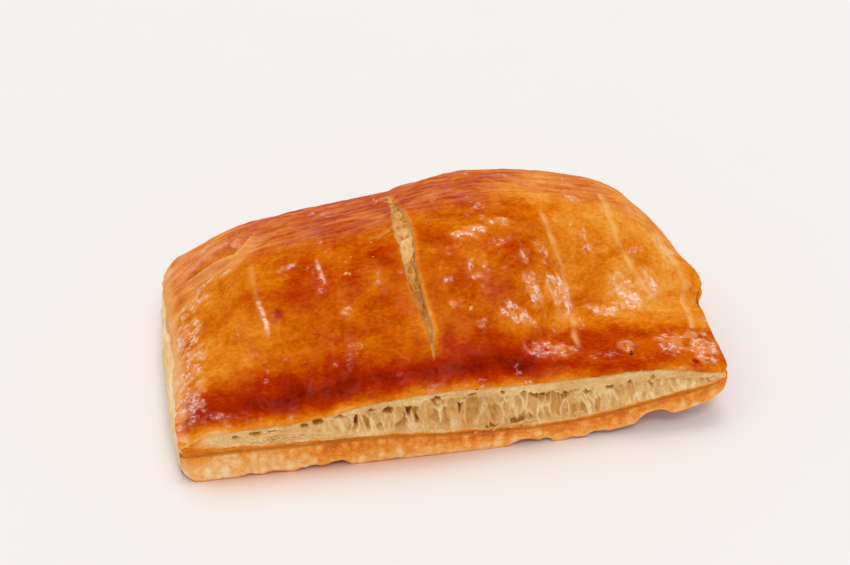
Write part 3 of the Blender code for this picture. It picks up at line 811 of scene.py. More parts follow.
def mouth_relief(x, up, down, z):
    """Depth in mm at x, at heights up from the bottom sheet and down from the lip."""
    teeth = np.abs(noise(x, 2.0, 2.6, 201)) * 2.0 + 0.6 * noise(x, 5.0, 1.0, 202) - 0.5
    edge = along(x, UPPER_STACK) + teeth * (0.3 + 0.7 * rise(x, -60.0, -25.0))
    low_edge = along(x, LOWER_STACK) + 0.4 * noise(x, 9.0, 3.0, 203)
    open_up = rise(down, edge - 0.1, edge + 0.25) * rise(up, low_edge - 0.2, low_edge + 0.7)
    tall = rise(x, -40.0, -26.0)

    lean = 1.0 * noise(x, up, 6.0, 205) + 0.3 * noise(x, up, 1.5, 206) + 0.10 * up
    fine = np.linspace(low[0], high[0] + 4.0, 600)
    count = np.concatenate([[0.0], np.cumsum(np.diff(fine) / along(fine[1:], CELL_WIDTH))])
    column = np.interp(x + lean, fine, count)
    near, second, luck = cells(column, up / 9.0 + 0.6 * noise(column, 4.0, 1.3, 207), 1.0, 208)
    wall = (second - near) * along(x, CELL_WIDTH)
    pit = rise(wall, 0.1, 1.5) * (0.45 + 0.55 * luck)
    hollow, skin = stretched_skins(x, z)
    threads = noise(x + lean, up * 0.12, 0.55, 209) + 0.8 * noise(x + lean, up * 0.16, 1.3, 210)
    columns = pit * along(x, PIT_DEPTH) + 0.24 * threads
    depth = open_up * tall * (along(x, CELL_RECESS) + columns * (1.0 - skin) + hollow)
    depth += open_up * tall * (0.9 * hill(down - edge, 0.4, 0.8) * (1.0 - skin) * luck)
    gaps = deep_gaps(x, z) * rise(down, 0.5, 1.2)
    depth += 0.6 * gaps

    bend = 0.5 * noise(x, up, 6.0, 204)
    sheets = noise(x * 0.10, up + bend, 0.62, 211) + 0.6 * noise(x * 0.35, up + bend, 0.4, 212)
    flat = 1.0 - open_up * tall
    depth = depth + flat * (0.25 + 0.40 * sheets) + 0.16 * layered(x, up, 1.1, 213)
    depth = depth - 0.35 * flat * rise(noise(x * 0.5, up, 1.2, 215), 0.35, 0.5)
    groove = hill(down, 0.9 + 0.2 * bend, 0.3) * rise(x, 24.0, 34.0) * (1.0 - rise(x, 52.0, 60.0))
    depth = np.maximum(depth * (0.3 + 0.7 * rise(up, 0.0, 1.2)) + 0.5 * groove, 0.1 - 0.6 * rise(down, 0.6, 1.6))
    # Tone per cell at random, with painted shade: paler on the thin walls, darker in the pits and the listed
    # gaps.
    tone_and_shade = 0.16 * (luck - 0.5) + 0.10 * threads - 0.12 * (1.0 - rise(wall, 0.1, 0.8)) - 0.02 * skin
    depth += 0.6 * (1.0 - rise(down, 0.2, 1.2))
    return depth, groove, tone_and_shade * open_up * tall + 0.45 * rise(gaps, 0.3, 1.8)


def mouth_rings(x):
    """Closed sections of the layers: the relief in front and a plain return behind."""
    m = {key: value[:, None] for key, value in main_lines(x).items()}
    share = np.linspace(0.0, 1.0, MOUTH_ROWS)[None, :]
    bottom, top = m["sheet_top"] - 0.5, m["lip"] - 0.5
    z = bottom + (top - bottom) * share
    up, down = z - m["sheet_top"], m["lip"] - 0.8 - z
    x_grid = np.broadcast_to(x[:, None], z.shape)
    depth, groove, tone_and_shade = mouth_relief(x_grid, up, down, z)
    face = FRONT + SHEET_INSET + 0.2 + (LIP_INSET - SHEET_INSET - 0.2) * share
    y = face + depth
    back_share = np.linspace(0.0, 1.0, MOUTH_INSIDE + 2)[None, 1:-1]
    back_y = np.full((len(x), 1), FRONT + 14.0) + 0.0 * back_share
    back_z = top + (bottom - top) * back_share
    points = np.stack([np.broadcast_to(x[:, None], (len(x), MOUTH_ROWS + MOUTH_INSIDE)),
                       np.concatenate([y, back_y], axis=1),
                       np.concatenate([z, back_z], axis=1)], axis=2)
    pad = ((0, 0), (0, MOUTH_INSIDE))
    # Browner the deeper the relief goes, and darkest in the deepest holes: painted shade.
    cream = 0.20 + 0.045 * np.clip(depth, 0.0, 4.0) + 0.08 * noise(x_grid, z, 5.0, 216)
    deep = np.pad(cream + tone_and_shade + 0.20 * rise(depth, 3.0, 5.0), pad, mode="edge")
    left = 1.0 - rise(x_grid, -60.0, -20.0)
    brown = 1.0 + 0.5 * noise(x_grid, 2.0, 9.0, 218)
    level = 0.10 + 0.42 * (1.0 - rise(up, 0.3 * brown, 1.1 * brown))
    level = level + 0.18 * (1.0 - rise(down, -0.2, 0.7))
    # Browner in the groove under the lip: painted shade.
    level = level + 0.20 * groove + left * (0.10 + 0.20 * (1.0 - rise(up, 1.0, 2.6)))
    level = level + 0.30 * (1.0 - rise(x_grid, -73.0, -62.0)) + 0.25 * rise(x_grid, 71.0, 76.0)
    level = level + 0.10 * (1.0 - rise(up, 1.0, 2.2)) * noise(x_grid, up * 2.0, 3.0, 217)
    level = np.minimum(level, 0.52)
    return points, {"deep": deep, "browning": np.pad(level, pad, mode="edge")}


mouth_x = np.linspace(LEFT_EDGE + 0.2, RIGHT_EDGE - 0.4, MOUTH_STATIONS)
mouth_points, mouth_masks = mouth_rings(mouth_x)
mouth_points = reach_out(mouth_points)
mouth_layers = tube_mesh("mouth_layers", mouth_points, mouth_points[0].mean(axis=0),
                         mouth_points[-1].mean(axis=0), mouth_masks)
print(f"burst edge: {len(mouth_layers.data.polygons)} faces, levels "
      f"{mouth_masks['deep'].min():.2f} to {mouth_masks['deep'].max():.2f}")
# %% [markdown]
# ## The two ends
# At each end the layers have puffed out a little past the crust's edge. The left end had
# no egg wash, so it is pale. The right end is closed and browned. A cushion of rings that
# shrink towards the middle gives the puff, with the edges of the layers as ridges on it.

# %% End surfaces
END_RINGS = 70
END_POINTS = 360


def end_outline(x):
    """The whole outer section at one x: up the band, the mouth, the crust and the base."""
    crust_line = crust_outline(np.array([x]))[0]
    m = {key: float(value[0]) for key, value in main_lines(np.array([x])).items()}
    front = np.array([[x, FRONT + 1.2, m["sheet_base"] + 1.0], [x, FRONT + 0.6, m["sheet_top"] - 1.0],
                      [x, FRONT + 2.0, m["sheet_top"] + 0.5], [x, FRONT + 2.0, m["lip"] - 1.5]])
    under = np.linspace(1.0, 0.0, 12)[:, None]
    y = FRONT + 2.0 + (crust_line[-1, 1] - FRONT - 2.0) * under[:, 0]
    base = np.stack([np.full(12, x), y, curl(x, y) + 0.4], axis=1)
    loop = reach_out(np.concatenate([front, crust_line[4:], base[1:]]))
    return even_steps(np.concatenate([loop, loop[:1]])[None], END_POINTS + 1,
                      np.ones((1, len(loop))))[0, :-1]


def end_cushion(name, x, puff, inset, seed, levels):
    """A puffed end: rings scaled towards the middle, pushed out by the root of 1 - s^3."""
    loop = end_outline(x)
    middle = (loop.max(axis=0) + loop.min(axis=0)) / 2
    scale = np.linspace(1.0, 0.0, END_RINGS + 1)[:-1, None]
    radius = np.linalg.norm(loop - middle, axis=1).mean()
    rings = middle + (loop - middle)[None] * (scale[..., None] * (1.0 - inset / radius))
    reach = puff * np.sqrt(np.maximum(1.0 - scale ** 3, 0.0))
    y, z = rings[..., 1], rings[..., 2]
    layers_line = noise(scale * radius * 1.3 + 0.6 * noise(y, z, 8.0, seed), y * 0.06, 0.9, seed + 1)
    swell = 0.7 * noise(y, z, 12.0, seed + 2) + 0.3 * noise(y, z, 4.0, seed + 3)
    fade = rise(1.0 - scale, 0.0, 0.10)
    out = reach + fade * (0.45 * layers_line + swell * min(1.0, puff / 2.5))
    rings[..., 0] += np.sign(x) * (np.clip(out, 0.0, puff + 0.75) - 0.8)
    if x > 0:
        rings[..., 0] += 0.8 * end_bulge(z - main_lines(np.array([x]))["foot_z"], y)
    pole = np.array([x + np.sign(x) * float(out[-1].mean()) - np.sign(x) * 0.8, *middle[1:]])
    back = middle - [np.sign(x) * 3.0, 0.0, 0.0]
    behind = middle + (rings[0] - middle) * 0.93 - [np.sign(x) * 2.5, 0.0, 0.0]
    stack = np.concatenate([behind[None], rings])
    level = levels[0] + (levels[1] - levels[0]) * np.concatenate([[[0.0]], 1.0 - scale])
    level = level + 0.10 * noise(stack[..., 1], stack[..., 2], 9.0, seed + 4)
    level[1:] += 0.08 * layers_line
    return tube_mesh(name, stack, back, pole, {"browning": level})


left_end = end_cushion("left_end", LEFT_EDGE, 3.0, 0.9, 301, (0.15, 0.08))
right_end = end_cushion("right_end", RIGHT_EDGE - 0.8, 1.2, 2.2, 311, (0.46, 0.42))
print("ends:", [len(piece.data.polygons) for piece in (left_end, right_end)])

# %% [markdown]
# ## Flakes, crumbs and specks
# Thin shreds of pastry hang torn in the burst edge, a few golden crumbs lie on the crust,
# and there are some burnt specks. Each is a small lump: a sphere squashed to its size,
# roughened by noise, then turned and bent. Flat lumps make the shreds.

# %% Small lumps
LUMP_RINGS, LUMP_POINTS = 16, 22
# Where shreds hang: (from, to, height at the start, height at the end, how many).
SHRED_ZONES = ((-54.0, -39.0, 10.0, 10.4, 15), (6.5, 23.5, 5.8, 7.0, 20), (30.0, 37.0, 8.0, 9.0, 4),
               (50.0, 56.0, 12.8, 14.2, 3))
# Crumbs on the crust: (along, across, half length, half width, half height, turn).
CRUMBS = ((-23.7, -5.6, 0.28, 0.25, 0.25, 0.0), (-22.1, -4.3, 0.25, 0.22, 0.22, 0.0),
          (-24.2, -9.5, 0.75, 0.45, 0.40, 30.0), (-23.2, -9.9, 0.40, 0.35, 0.35, 80.0),
          (-16.1, -1.0, 0.28, 0.25, 0.22, 0.0), (-16.3, -6.2, 0.25, 0.22, 0.22, 0.0),
          (-19.0, 0.1, 0.20, 0.20, 0.20, 0.0), (7.8, -22.4, 0.45, 1.25, 0.30, -25.0))
# Burnt specks: (along, across, half length, half width, half height, turn).
SPECKS = ((50.5, -32.1, 0.50, 0.40, 0.18, 10.0), (50.8, -31.3, 0.18, 0.30, 0.15, 0.0),
          (6.9, -37.2, 0.35, 0.25, 0.15, 0.0), (67.5, -34.5, 0.30, 0.22, 0.10, 0.0),
          (71.5, -34.2, 0.25, 0.20, 0.10, 0.0))


def lump(middle, sizes, turn, tilt, bend, seed):
    """Points of one lump: a squashed sphere, roughened, bent upwards, tilted and turned."""
    rings = np.linspace(0.0, math.pi, LUMP_RINGS + 2)[1:-1, None]
    around = np.linspace(0.0, 2.0 * math.pi, LUMP_POINTS, endpoint=False)[None, :]
    ball = np.stack([np.cos(rings) + 0.0 * around, np.sin(rings) * np.cos(around),
                     np.sin(rings) * np.sin(around)], axis=2)
    rough = 1.0 + 0.45 * noise(ball[..., 0] * 2.0 + seed, ball[..., 1] + ball[..., 2] * 1.7, 0.8, seed)
    ball = np.concatenate([(ball * rough[..., None]).reshape(-1, 3), [[1.0, 0.0, 0.0], [-1.0, 0.0, 0.0]]])
    x, y, z = (ball * np.array(sizes)).T
    z = z + bend * (x ** 2 - sizes[0] ** 2 / 2)
    a, b = math.radians(turn), math.radians(tilt)
    x, z = x * math.cos(b) - z * math.sin(b), x * math.sin(b) + z * math.cos(b)
    x, y = x * math.cos(a) - y * math.sin(a), x * math.sin(a) + y * math.cos(a)
    return np.stack([x, y, z], axis=1) + np.array(middle)


def lumps_piece(name, lumps, level):
    """All the lumps of one kind joined into one mesh, each of them closed."""
    quads = grid_faces(LUMP_RINGS, LUMP_POINTS, loop_columns=True)
    first = np.arange(LUMP_POINTS)
    last = first + (LUMP_RINGS - 1) * LUMP_POINTS
    size = LUMP_RINGS * LUMP_POINTS + 2
    fans = np.concatenate([
        np.stack([np.roll(first, -1), first, np.full(LUMP_POINTS, size - 2)], axis=1),
        np.stack([last, np.roll(last, -1), np.full(LUMP_POINTS, size - 1)], axis=1)])
    if signed_volume(lumps[0], quads, fans) < 0:
        quads, fans = quads[:, ::-1], fans[:, ::-1]
    shifts = np.arange(len(lumps)) * size
    all_quads = np.concatenate([quads + shift for shift in shifts])
    all_fans = np.concatenate([fans + shift for shift in shifts])
    points = np.concatenate(lumps)
    return make_mesh(name, points, all_quads, all_fans, {"browning": np.full(len(points), level)})


def on_crust(x, y):
    """Height of the crust's surface at a place, from the nearest point of its grid."""
    gap = (crust_skin[..., 0] - x) ** 2 + (crust_skin[..., 1] - y) ** 2
    gap = gap + 1e3 * (crust_skin[..., 2] < 14.0)
    return float(crust_skin[..., 2].ravel()[gap.argmin()])


def scatter(places, seed):
    """Lumps set on the crust, half sunk into it."""
    return [lump((x, y, on_crust(x, y) + 0.3 * c), (a, b, c), turn, 0.0, 0.0, seed + k)
            for k, (x, y, a, b, c, turn) in enumerate(places)]


def torn_shreds():
    """Thin shreds in the zones: random sizes, tilts up to 40 degrees, a slight bend."""
    rng = np.random.default_rng(440)
    shreds = []
    for start, end, low_z, high_z, count in SHRED_ZONES:
        for share in (np.arange(count) + rng.uniform(0.2, 0.8, count)) / count:
            middle = (start + (end - start) * share, FRONT + rng.uniform(0.7, 1.5),
                      low_z + (high_z - low_z) * share + rng.uniform(-0.5, 0.6))
            sizes = (rng.uniform(0.5, 1.2), 0.14, rng.uniform(0.16, 0.42))
            turn, tilt, bend = rng.uniform(-25, 25), rng.uniform(-40, 40), rng.uniform(-0.3, 0.4)
            shreds.append(lump(middle, sizes, turn, tilt, bend, int(rng.integers(500, 900))))
    return shreds


crumbs = lumps_piece("crumbs", scatter(CRUMBS, 400), 0.3)
specks = lumps_piece("specks", scatter(SPECKS, 420), 1.0)
torn_flakes = lumps_piece("torn_flakes", torn_shreds(), 0.22)
print("small pieces:", [len(piece.data.polygons) for piece in (crumbs, specks, torn_flakes)])

# %% [markdown]
# ## Materials
# Browning is one thing that runs from raw dough to nearly burnt, so one shared node group
# turns a browning level into a colour, and every material of the roll uses it. The level
# comes from the piece's own attribute, and noise on Object coordinates mottles it. In some
# places that attribute also carries painted shade and painted light.

# %% Helpers for materials
def linear(code):
    """A colour code such as e4913c as the linear red, green, blue and alpha of a socket."""
    parts = [int(code[k:k + 2], 16) / 255.0 for k in (0, 2, 4)]
    return [((p + 0.055) / 1.055) ** 2.4 if p > 0.04045 else p / 12.92 for p in parts] + [1.0]


def add(tree, kind, inputs=None, **settings):
    """A shader node with its settings, and its inputs set to constants or linked."""
    node = tree.nodes.new("ShaderNode" + kind)
    for key, value in settings.items():
        setattr(node, key, value)
    for key, value in (inputs or {}).items():
        if isinstance(value, bpy.types.NodeSocket):
            tree.links.new(value, node.inputs[key])
        else:
            node.inputs[key].default_value = value
    return node


def calc(tree, operation, first, second=0.0, clamp=False):
    """The output of a Math node."""
    node = add(tree, "Math", {0: first, 1: second}, operation=operation, use_clamp=clamp)
    return node.outputs[0]


def remap(tree, value, low_in, high_in, low_out=0.0, high_out=1.0):
    """A value carried from one range to another, and kept inside it."""
    inputs = {"Value": value, "From Min": low_in, "From Max": high_in, "To Min": low_out,
              "To Max": high_out}
    return add(tree, "MapRange", inputs, clamp=True).outputs[0]


def blend_colour(tree, share, first, second, kind="MIX"):
    """Two colours mixed by a share."""
    node = add(tree, "Mix", {0: share, 6: first, 7: second}, data_type="RGBA", blend_type=kind)
    return node.outputs[2]


def colour_ramp(tree, value, stops):
    """A colour read from a row of (place, colour code) stops."""
    node = add(tree, "ValToRGB", {0: value})
    elements = node.color_ramp.elements
    for place, code in stops[1:-1]:
        elements.new(place)
    for element, (place, code) in zip(elements, stops):
        element.position, element.color = place, linear(code)
    return node.outputs["Color"]


def attribute(tree, name):
    """A piece's own value per point."""
    return add(tree, "Attribute", attribute_name=name).outputs["Fac"]


def noise_value(tree, place, scale, detail=3.0, roughness=0.55):
    """Blender's noise, 0 to 1, on coordinates in metres."""
    inputs = {"Vector": place, "Scale": scale, "Detail": detail, "Roughness": roughness}
    return add(tree, "TexNoise", inputs).outputs["Fac"]


def start_group(name, inputs, outputs):
    """A new node group with named number inputs and (name, kind) outputs."""
    tree = bpy.data.node_groups.new(name, "ShaderNodeTree")
    for key, value in inputs.items():
        kind = "NodeSocketVector" if value is None else "NodeSocketFloat"
        socket = tree.interface.new_socket(key, in_out="INPUT", socket_type=kind)
        if value is not None:
            socket.default_value = value
    for key, kind in outputs.items():
        tree.interface.new_socket(key, in_out="OUTPUT", socket_type="NodeSocket" + kind)
    return tree, add_plain(tree, "NodeGroupInput"), add_plain(tree, "NodeGroupOutput")


def add_plain(tree, kind):
    """A node whose type name doesn't start with ShaderNode."""
    return tree.nodes.new(kind)


def use_group(tree, group, inputs):
    """A group placed in a material with its own values."""
    node = add(tree, "Group", node_tree=group)
    for key, value in inputs.items():
        if isinstance(value, bpy.types.NodeSocket):
            tree.links.new(value, node.inputs[key])
        else:
            node.inputs[key].default_value = value
    return node


# %% Shared groups
BROWNING_STOPS = ((0.0, "f9e8ca"), (0.2, "f5c98c"), (0.4, "ec9e40"), (0.5, "e48418"),
                  (0.6, "d26804"), (0.7, "c04a00"), (0.8, "ae2a00"), (1.0, "781000"))


# Crumb that steamed between the layers: cream walls, and olive brown where it is deep, which the open layers use
# as painted shade.
CRUMB_STOPS = ((0.0, "f8deaa"), (0.25, "e4b674"), (0.5, "d09c4c"), (0.75, "c07c1c"), (1.0, "a85800"))
# Mottling: (noise scale, detail, share of the mottle).
MOTTLES = ((75.0, 1.0, 0.65), (300.0, 2.0, 0.58), (1200.0, 1.0, 0.42), (3400.0, 0.0, 0.28))


def browning_group(name, stops):
    """Level in, colour out, after mottling the level with four sizes of noise."""
    tree, start, end = start_group(name, {"Place": None, "Level": 0.5, "Mottle": 0.1},
                                   {"Colour": "Color", "Level": "Float"})
    place, level = start.outputs["Place"], start.outputs["Level"]
    for scale, detail, share in MOTTLES:
        part = calc(tree, "SUBTRACT", noise_value(tree, place, scale, detail), 0.5)
        strength = calc(tree, "MULTIPLY", start.outputs["Mottle"], share)
        level = calc(tree, "ADD", level, calc(tree, "MULTIPLY", part, strength))
    level = calc(tree, "ADD", level, 0.0, True)
    tree.links.new(colour_ramp(tree, level, stops), end.inputs["Colour"])
    tree.links.new(level, end.inputs["Level"])
    return tree


def flake_group():
    """Fine flaky grain: thin streaks along the roll, crossed by small round bumps."""
    tree, start, end = start_group("flaky grain", {"Place": None, "Stretch": 6.0},
                                   {"Height": "Float"})
    squash = add(tree, "CombineXYZ", {"X": calc(tree, "DIVIDE", 1.0, start.outputs["Stretch"]),
                                      "Y": 1.0, "Z": 1.0}).outputs[0]
    place = add(tree, "VectorMath", {0: start.outputs["Place"], 1: squash},
                operation="MULTIPLY").outputs[0]
    streaks = noise_value(tree, place, 2200.0, 3.0)
    bumps = noise_value(tree, start.outputs["Place"], 1400.0, 2.0)
    total = calc(tree, "ADD", streaks, calc(tree, "MULTIPLY", bumps, 0.5))
    tree.links.new(total, end.inputs["Height"])
    return tree


BROWNING, FLAKES = browning_group("browning", BROWNING_STOPS), flake_group()
CRUMB = browning_group("steamed crumb", CRUMB_STOPS)
print("shared groups:", BROWNING.name, CRUMB.name, FLAKES.name)


# %% Material shells
def start_material(name, constants):
    """A material with its Principled shader, Object coordinates, and constants set."""
    material = bpy.data.materials.new(name)
    material.use_nodes = True
    tree = material.node_tree
    tree.nodes.clear()
    shader = add(tree, "BsdfPrincipled", constants)
    tree.links.new(shader.outputs[0], add(tree, "OutputMaterial").inputs[0])
    return material, tree, shader, add(tree, "TexCoord").outputs["Object"]


def bumped(tree, shader, height, distance, strength=1.0):
    """Feed a height into the shader's normal, as a bump of that many mm."""
    inputs = {"Height": height, "Distance": distance * MM, "Strength": strength}
    tree.links.new(add(tree, "Bump", inputs).outputs[0], shader.inputs["Normal"])


SUBSURFACE = {"Subsurface Radius": (1.0, 0.45, 0.15), "Subsurface Scale": 1.2 * MM}


def crust_material():
    """Egg-washed crust: orange to red-brown, glossy, with bare dough in the scores, and a painted pink sheen and
    painted glints in its colour.
    """
    constants = {"Subsurface Weight": 0.1, "Coat Roughness": 0.08, "Coat IOR": 1.5,
                 "Specular IOR Level": 0.0, **SUBSURFACE}
    material, tree, shader, place = start_material("egg-washed crust", constants)
    blister, bare = attribute(tree, "blister"), attribute(tree, "bare")
    inside = attribute(tree, "slash")
    lengthwise = add(tree, "Mapping", {"Vector": place, "Scale": (0.6, 1.0, 1.0)}).outputs[0]
    baked = use_group(tree, BROWNING, {"Place": lengthwise, "Level": attribute(tree, "browning"),
                                       "Mottle": 0.42})
    slanted = add(tree, "Mapping", {"Vector": place, "Rotation": (0.0, 0.0, 0.5), "Scale": (0.7, 1.2, 1.0)})
    fold = calc(tree, "SUBTRACT", noise_value(tree, slanted.outputs[0], 720.0, 3.0, 0.6), 0.5)
    wrinkled = remap(tree, calc(tree, "ABSOLUTE", fold), 0.0, 0.07, 1.0, 0.0)
    some = remap(tree, noise_value(tree, place, 420.0, 1.0), 0.42, 0.58)
    wrinkled = calc(tree, "MULTIPLY", wrinkled, some)
    scattered = remap(tree, noise_value(tree, place, 170.0, 2.0), 0.56, 0.68, 0.0, 0.55)
    blister = calc(tree, "MAXIMUM", blister, scattered)
    # Painted glints: pale pink squiggles of colour where the glossy patches wrinkle.
    painted_glints = calc(tree, "MULTIPLY", wrinkled, remap(tree, blister, 0.3, 0.85, 0.0, 0.85))
    # The painted sheen mixes a pale pink into the crust's colour.
    painted_sheen = calc(tree, "MULTIPLY", attribute(tree, "painted_sheen"), 0.65)
    paleness = calc(tree, "MULTIPLY", bare, 0.9)
    colour = blend_colour(tree, paleness, baked.outputs["Colour"], linear("f2b668"))
    crumb = use_group(tree, CRUMB, {"Place": place, "Level": 0.3, "Mottle": 0.35})
    colour = blend_colour(tree, inside, colour, crumb.outputs["Colour"])
    colour = blend_colour(tree, painted_sheen, colour, linear("f8b088"))
    colour = blend_colour(tree, painted_glints, colour, linear("ffe4d6"))
    tree.links.new(colour, shader.inputs["Base Color"])
    patches = noise_value(tree, place, 120.0)
    rough = remap(tree, patches, 0.35, 0.65, 0.36, 0.52)
    dry = calc(tree, "MAXIMUM", inside, calc(tree, "MULTIPLY", bare, 0.7))
    rough = calc(tree, "ADD", rough, calc(tree, "MULTIPLY", dry, 0.3))
    tree.links.new(rough, shader.inputs["Roughness"])
    wash = remap(tree, noise_value(tree, place, 60.0), 0.35, 0.65, 0.01, 0.04)
    wash = calc(tree, "MAXIMUM", wash, calc(tree, "MULTIPLY", calc(tree, "ADD", wrinkled, 0.15), blister))
    wash = calc(tree, "MULTIPLY", wash, calc(tree, "SUBTRACT", 1.0, dry))
    tree.links.new(wash, shader.inputs["Coat Weight"])
    grain = use_group(tree, FLAKES, {"Place": place, "Stretch": 1.6})
    skin = calc(tree, "MULTIPLY", noise_value(tree, place, 700.0), calc(tree, "ADD", 0.3, blister))
    height = calc(tree, "ADD", calc(tree, "MULTIPLY", grain.outputs["Height"], 0.25), skin)
    bumped(tree, shader, height, 0.28)
    return material


def dough_material(name, mottle, rough, stretch, ovals=0.0, group=None):
    """Bare baked dough: paler, dry and flaky, with pale ovals where bubbles lay under it."""
    constants = {"Subsurface Weight": 0.3, "Specular IOR Level": 0.25, **SUBSURFACE}
    material, tree, shader, place = start_material(name, constants)
    tall = add(tree, "Mapping", {"Vector": place, "Scale": (1.0, 1.0, 0.7)}).outputs[0]
    bubbles = add(tree, "TexVoronoi", {"Vector": tall, "Scale": 380.0, "Randomness": 0.8})
    oval = remap(tree, bubbles.outputs["Distance"], 0.1, 0.6, ovals, 0.0)
    some = remap(tree, noise_value(tree, place, 160.0), 0.3, 0.55)
    paler = calc(tree, "MULTIPLY", oval, some)
    level = calc(tree, "SUBTRACT", attribute(tree, "browning"), paler)
    baked = use_group(tree, group or BROWNING, {"Place": place, "Level": level, "Mottle": mottle})
    inner = use_group(tree, CRUMB, {"Place": place, "Level": 0.85, "Mottle": 0.5})
    # Dark golden brown where the bottom sheet goes in under the layers: browning and painted shade of the gap.
    colour = blend_colour(tree, attribute(tree, "inner"), baked.outputs["Colour"],
                          inner.outputs["Colour"])
    tree.links.new(colour, shader.inputs["Base Color"])
    tree.links.new(remap(tree, baked.outputs["Level"], 0.1, 0.6, rough, rough - 0.2),
                   shader.inputs["Roughness"])
    grain = use_group(tree, FLAKES, {"Place": place, "Stretch": stretch})
    bumped(tree, shader, grain.outputs["Height"], 0.12)
    return material


def layers_material():
    """The open layers: cream walls, and golden brown painted as shade where the cells are deep."""
    constants = {"Subsurface Weight": 0.4, "Specular IOR Level": 0.15, **SUBSURFACE}
    material, tree, shader, place = start_material("open layers", constants)
    level = attribute(tree, "browning")
    steamed = use_group(tree, CRUMB, {"Place": place, "Level": attribute(tree, "deep"), "Mottle": 0.5})
    baked = use_group(tree, BROWNING, {"Place": place, "Level": level, "Mottle": 0.3})
    colour = blend_colour(tree, remap(tree, level, 0.22, 0.36), steamed.outputs["Colour"],
                          baked.outputs["Colour"])
    tree.links.new(colour, shader.inputs["Base Color"])
    shader.inputs["Roughness"].default_value = 0.6
    grain = use_group(tree, FLAKES, {"Place": place, "Stretch": 8.0})
    bumped(tree, shader, grain.outputs["Height"], 0.15)
    return material


def plain_material(name, code, rough):
    """A small crumb or speck: one colour, lighter and darker with fine noise."""
    material, tree, shader, place = start_material(name, {"Roughness": rough, "Specular IOR Level": 0.1})
    shade = noise_value(tree, place, 2500.0)
    dark = [0.75 * part for part in linear(code)[:3]] + [1.0]
    tree.links.new(blend_colour(tree, shade, dark, linear(code)), shader.inputs["Base Color"])
    bumped(tree, shader, shade, 0.1)
    return material


finishes = {
    crust: crust_material(),
    torn_flakes: dough_material("torn flake dough", 0.4, 0.7, 3.0, 0.0, CRUMB),
    crumbs: plain_material("golden crumb", "ffb658", 0.5),
    specks: plain_material("burnt speck", "4a1608", 0.6),
    base_sheet: dough_material("bottom sheet dough", 0.45, 0.6, 3.0, 0.20),
    mouth_layers: layers_material(),
    slash_crumb: dough_material("crumb", 0.5, 0.7, 1.0, 0.0, CRUMB),
    left_end: dough_material("pale end dough", 0.3, 0.75, 2.0),
    right_end: dough_material("browned end dough", 0.35, 0.6, 3.0),
}
for piece, material in finishes.items():
    piece.data.materials.append(material)
    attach(piece, "root")
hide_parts(ROLL)
print("finished pieces:", [piece.name for piece in finishes])

# %% [markdown]
# ## Floor, light and camera
# The roll lies on a seamless white table in a tent of white light, with one large soft
# lamp above and behind it. That lamp gives part of the broad sheen along the crest; the rest is a painted sheen
# in the crust's colour.

# %% Floor and light
# A painted warm shadow tints the table close to the roll's foot.
CONTACT_SHADOW_WIDTH = 0.016


def floor():
    """A wide plane just under the roll, slightly warm white, with a painted warm shadow along the roll's front
    foot.
    """
    size = 3.0
    corners = [(-size, -size, 0.0), (size, -size, 0.0), (size, size, 0.0), (-size, size, 0.0)]
    data = bpy.data.meshes.new("table")
    data.from_pydata(corners, [], [(0, 1, 2, 3)])
    plane = bpy.data.objects.new("table", data)
    bpy.context.scene.collection.objects.link(plane)
    material, tree, shader, place = start_material("white table", {"Specular IOR Level": 0.0})
    grain = noise_value(tree, place, 30.0)
    white = blend_colour(tree, grain, linear("f3f2f1"), linear("f5f4f3"))
    # The painted contact shadow: the table's colour turns warm brown along the roll's front foot.
    tree.links.new(blend_colour(tree, painted_contact_shadow(tree, place), white, linear("dca684")),
                   shader.inputs["Base Color"])
    shader.inputs["Roughness"].default_value = 0.6
    data.materials.append(material)


def painted_contact_shadow(tree, place):
    """Strength of the painted contact shadow: 1 along the roll's front foot and 0 at its width from it, fading
    out past its left corner.
    """
    away = add(tree, "SeparateXYZ", {0: place}).outputs
    near = remap(tree, away["Y"], FRONT * MM - CONTACT_SHADOW_WIDTH, FRONT * MM + 0.001, 0.0, 1.0)
    near = calc(tree, "MULTIPLY", near, remap(tree, away["Y"], 0.0, 0.02, 1.0, 0.0))
    started = remap(tree, away["X"], LEFT_EDGE * MM - 0.002, LEFT_EDGE * MM + 0.010)
    lifted = remap(tree, away["X"], -0.005, 0.045, 1.0, 0.0)
    return calc(tree, "MULTIPLY", calc(tree, "POWER", near, 2.5), calc(tree, "MULTIPLY", started, lifted))


def direction(azimuth, elevation):
    """The way from the roll to a lamp or camera; azimuth 0 is the front, 90 the right."""
    a, e = math.radians(azimuth), math.radians(elevation)
    return Vector((math.sin(a) * math.cos(e), -math.cos(a) * math.cos(e), math.sin(e)))


def softbox(name, azimuth, elevation, distance, width, height, watts, code):
    """A rectangular lamp that faces the roll."""
    lamp = bpy.data.lights.new(name, "AREA")
    lamp.shape = "RECTANGLE"
    lamp.size, lamp.size_y = width, height
    lamp.energy, lamp.color = watts, linear(code)[:3]
    way = direction(azimuth, elevation)
    holder = bpy.data.objects.new(name, lamp)
    holder.location = way * distance
    holder.rotation_euler = way.to_track_quat("Z", "Y").to_euler()
    bpy.context.scene.collection.objects.link(holder)


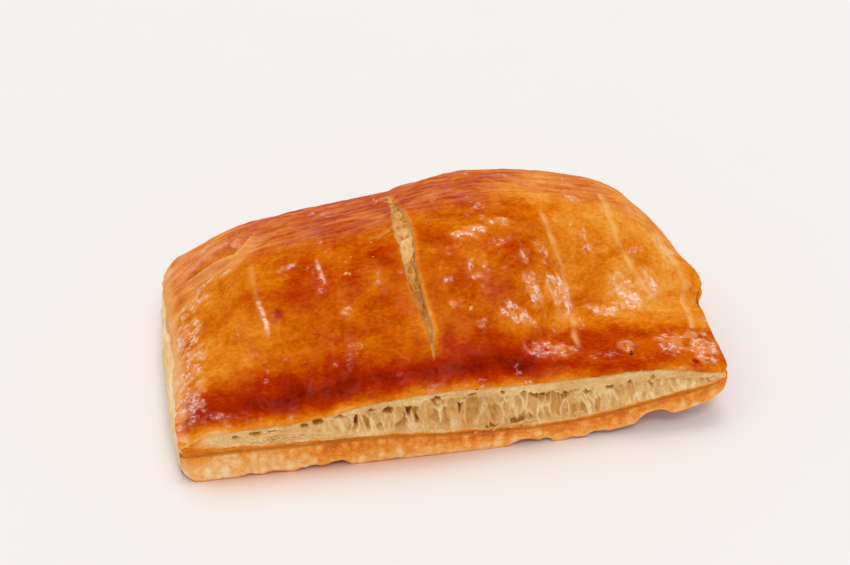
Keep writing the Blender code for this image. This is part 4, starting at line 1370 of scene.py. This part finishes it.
def white_tent(around, mirrored, mirrored_behind, windows):
    """White light from around; mirror-like rays see it dim, with bright windows and a bright back."""
    world = bpy.data.worlds.new("white tent")
    world.use_nodes = True
    tree = world.node_tree
    way = add(tree, "SeparateXYZ", {0: add(tree, "TexCoord").outputs["Generated"]})
    backness = remap(tree, way.outputs["Y"], -0.3, 0.6)
    lowness = remap(tree, way.outputs["Z"], 0.75, 0.45)
    share = calc(tree, "MULTIPLY", backness, lowness)
    mirror = remap(tree, share, 0.0, 1.0, mirrored, mirrored_behind)
    pattern = noise_value(tree, way.inputs[0].links[0].from_socket, 3.2, 1.0)
    panes = remap(tree, pattern, 0.47, 0.53, 0.05 * windows, windows)
    overhead = remap(tree, way.outputs["Z"], 0.15, 0.4)
    overhead = calc(tree, "MULTIPLY", overhead, remap(tree, way.outputs["Y"], -0.1, 0.4, 1.0, 0.06))
    mirror = calc(tree, "ADD", mirror, calc(tree, "MULTIPLY", panes, overhead))
    path = add(tree, "LightPath").outputs
    light = add(tree, "Mix", {0: path["Is Glossy Ray"], 2: around, 3: mirror}).outputs[0]
    light = add(tree, "Mix", {0: path["Is Camera Ray"], 2: light, 3: BACKDROP}).outputs[0]
    background = tree.nodes["Background"]
    background.inputs["Color"].default_value = linear("fdfbfa")
    tree.links.new(light, background.inputs["Strength"])
    bpy.context.scene.world = world


BACKDROP = 0.96
floor()
softbox("lamp behind", 160.0, 76.0, 2.5, 1.1, 0.8, 12.5, "fffcfa")
softbox("lamp above", 8.0, 60.0, 2.5, 0.7, 0.5, 9.5, "fffaf6")
white_tent(0.73, 0.12, 0.7, 9.0)

# %% Camera
CAMERA_AZIMUTH, CAMERA_ELEVATION, CAMERA_DISTANCE = -9.44, 38.0, 0.5318
CAMERA_TARGET = Vector((0.00082, 0.01093, 0.020))
CAMERA_LENS = 78.35

camera_data = bpy.data.cameras.new("camera")
camera_data.lens, camera_data.sensor_width = CAMERA_LENS, 36.0
camera_data.clip_start = 0.01
camera = bpy.data.objects.new("camera", camera_data)
way = direction(CAMERA_AZIMUTH, CAMERA_ELEVATION)
camera.location = CAMERA_TARGET + way * CAMERA_DISTANCE
camera.rotation_euler = way.to_track_quat("Z", "Y").to_euler()
bpy.context.scene.collection.objects.link(camera)
bpy.context.scene.camera = camera
bpy.context.scene.view_settings.view_transform = "Standard"
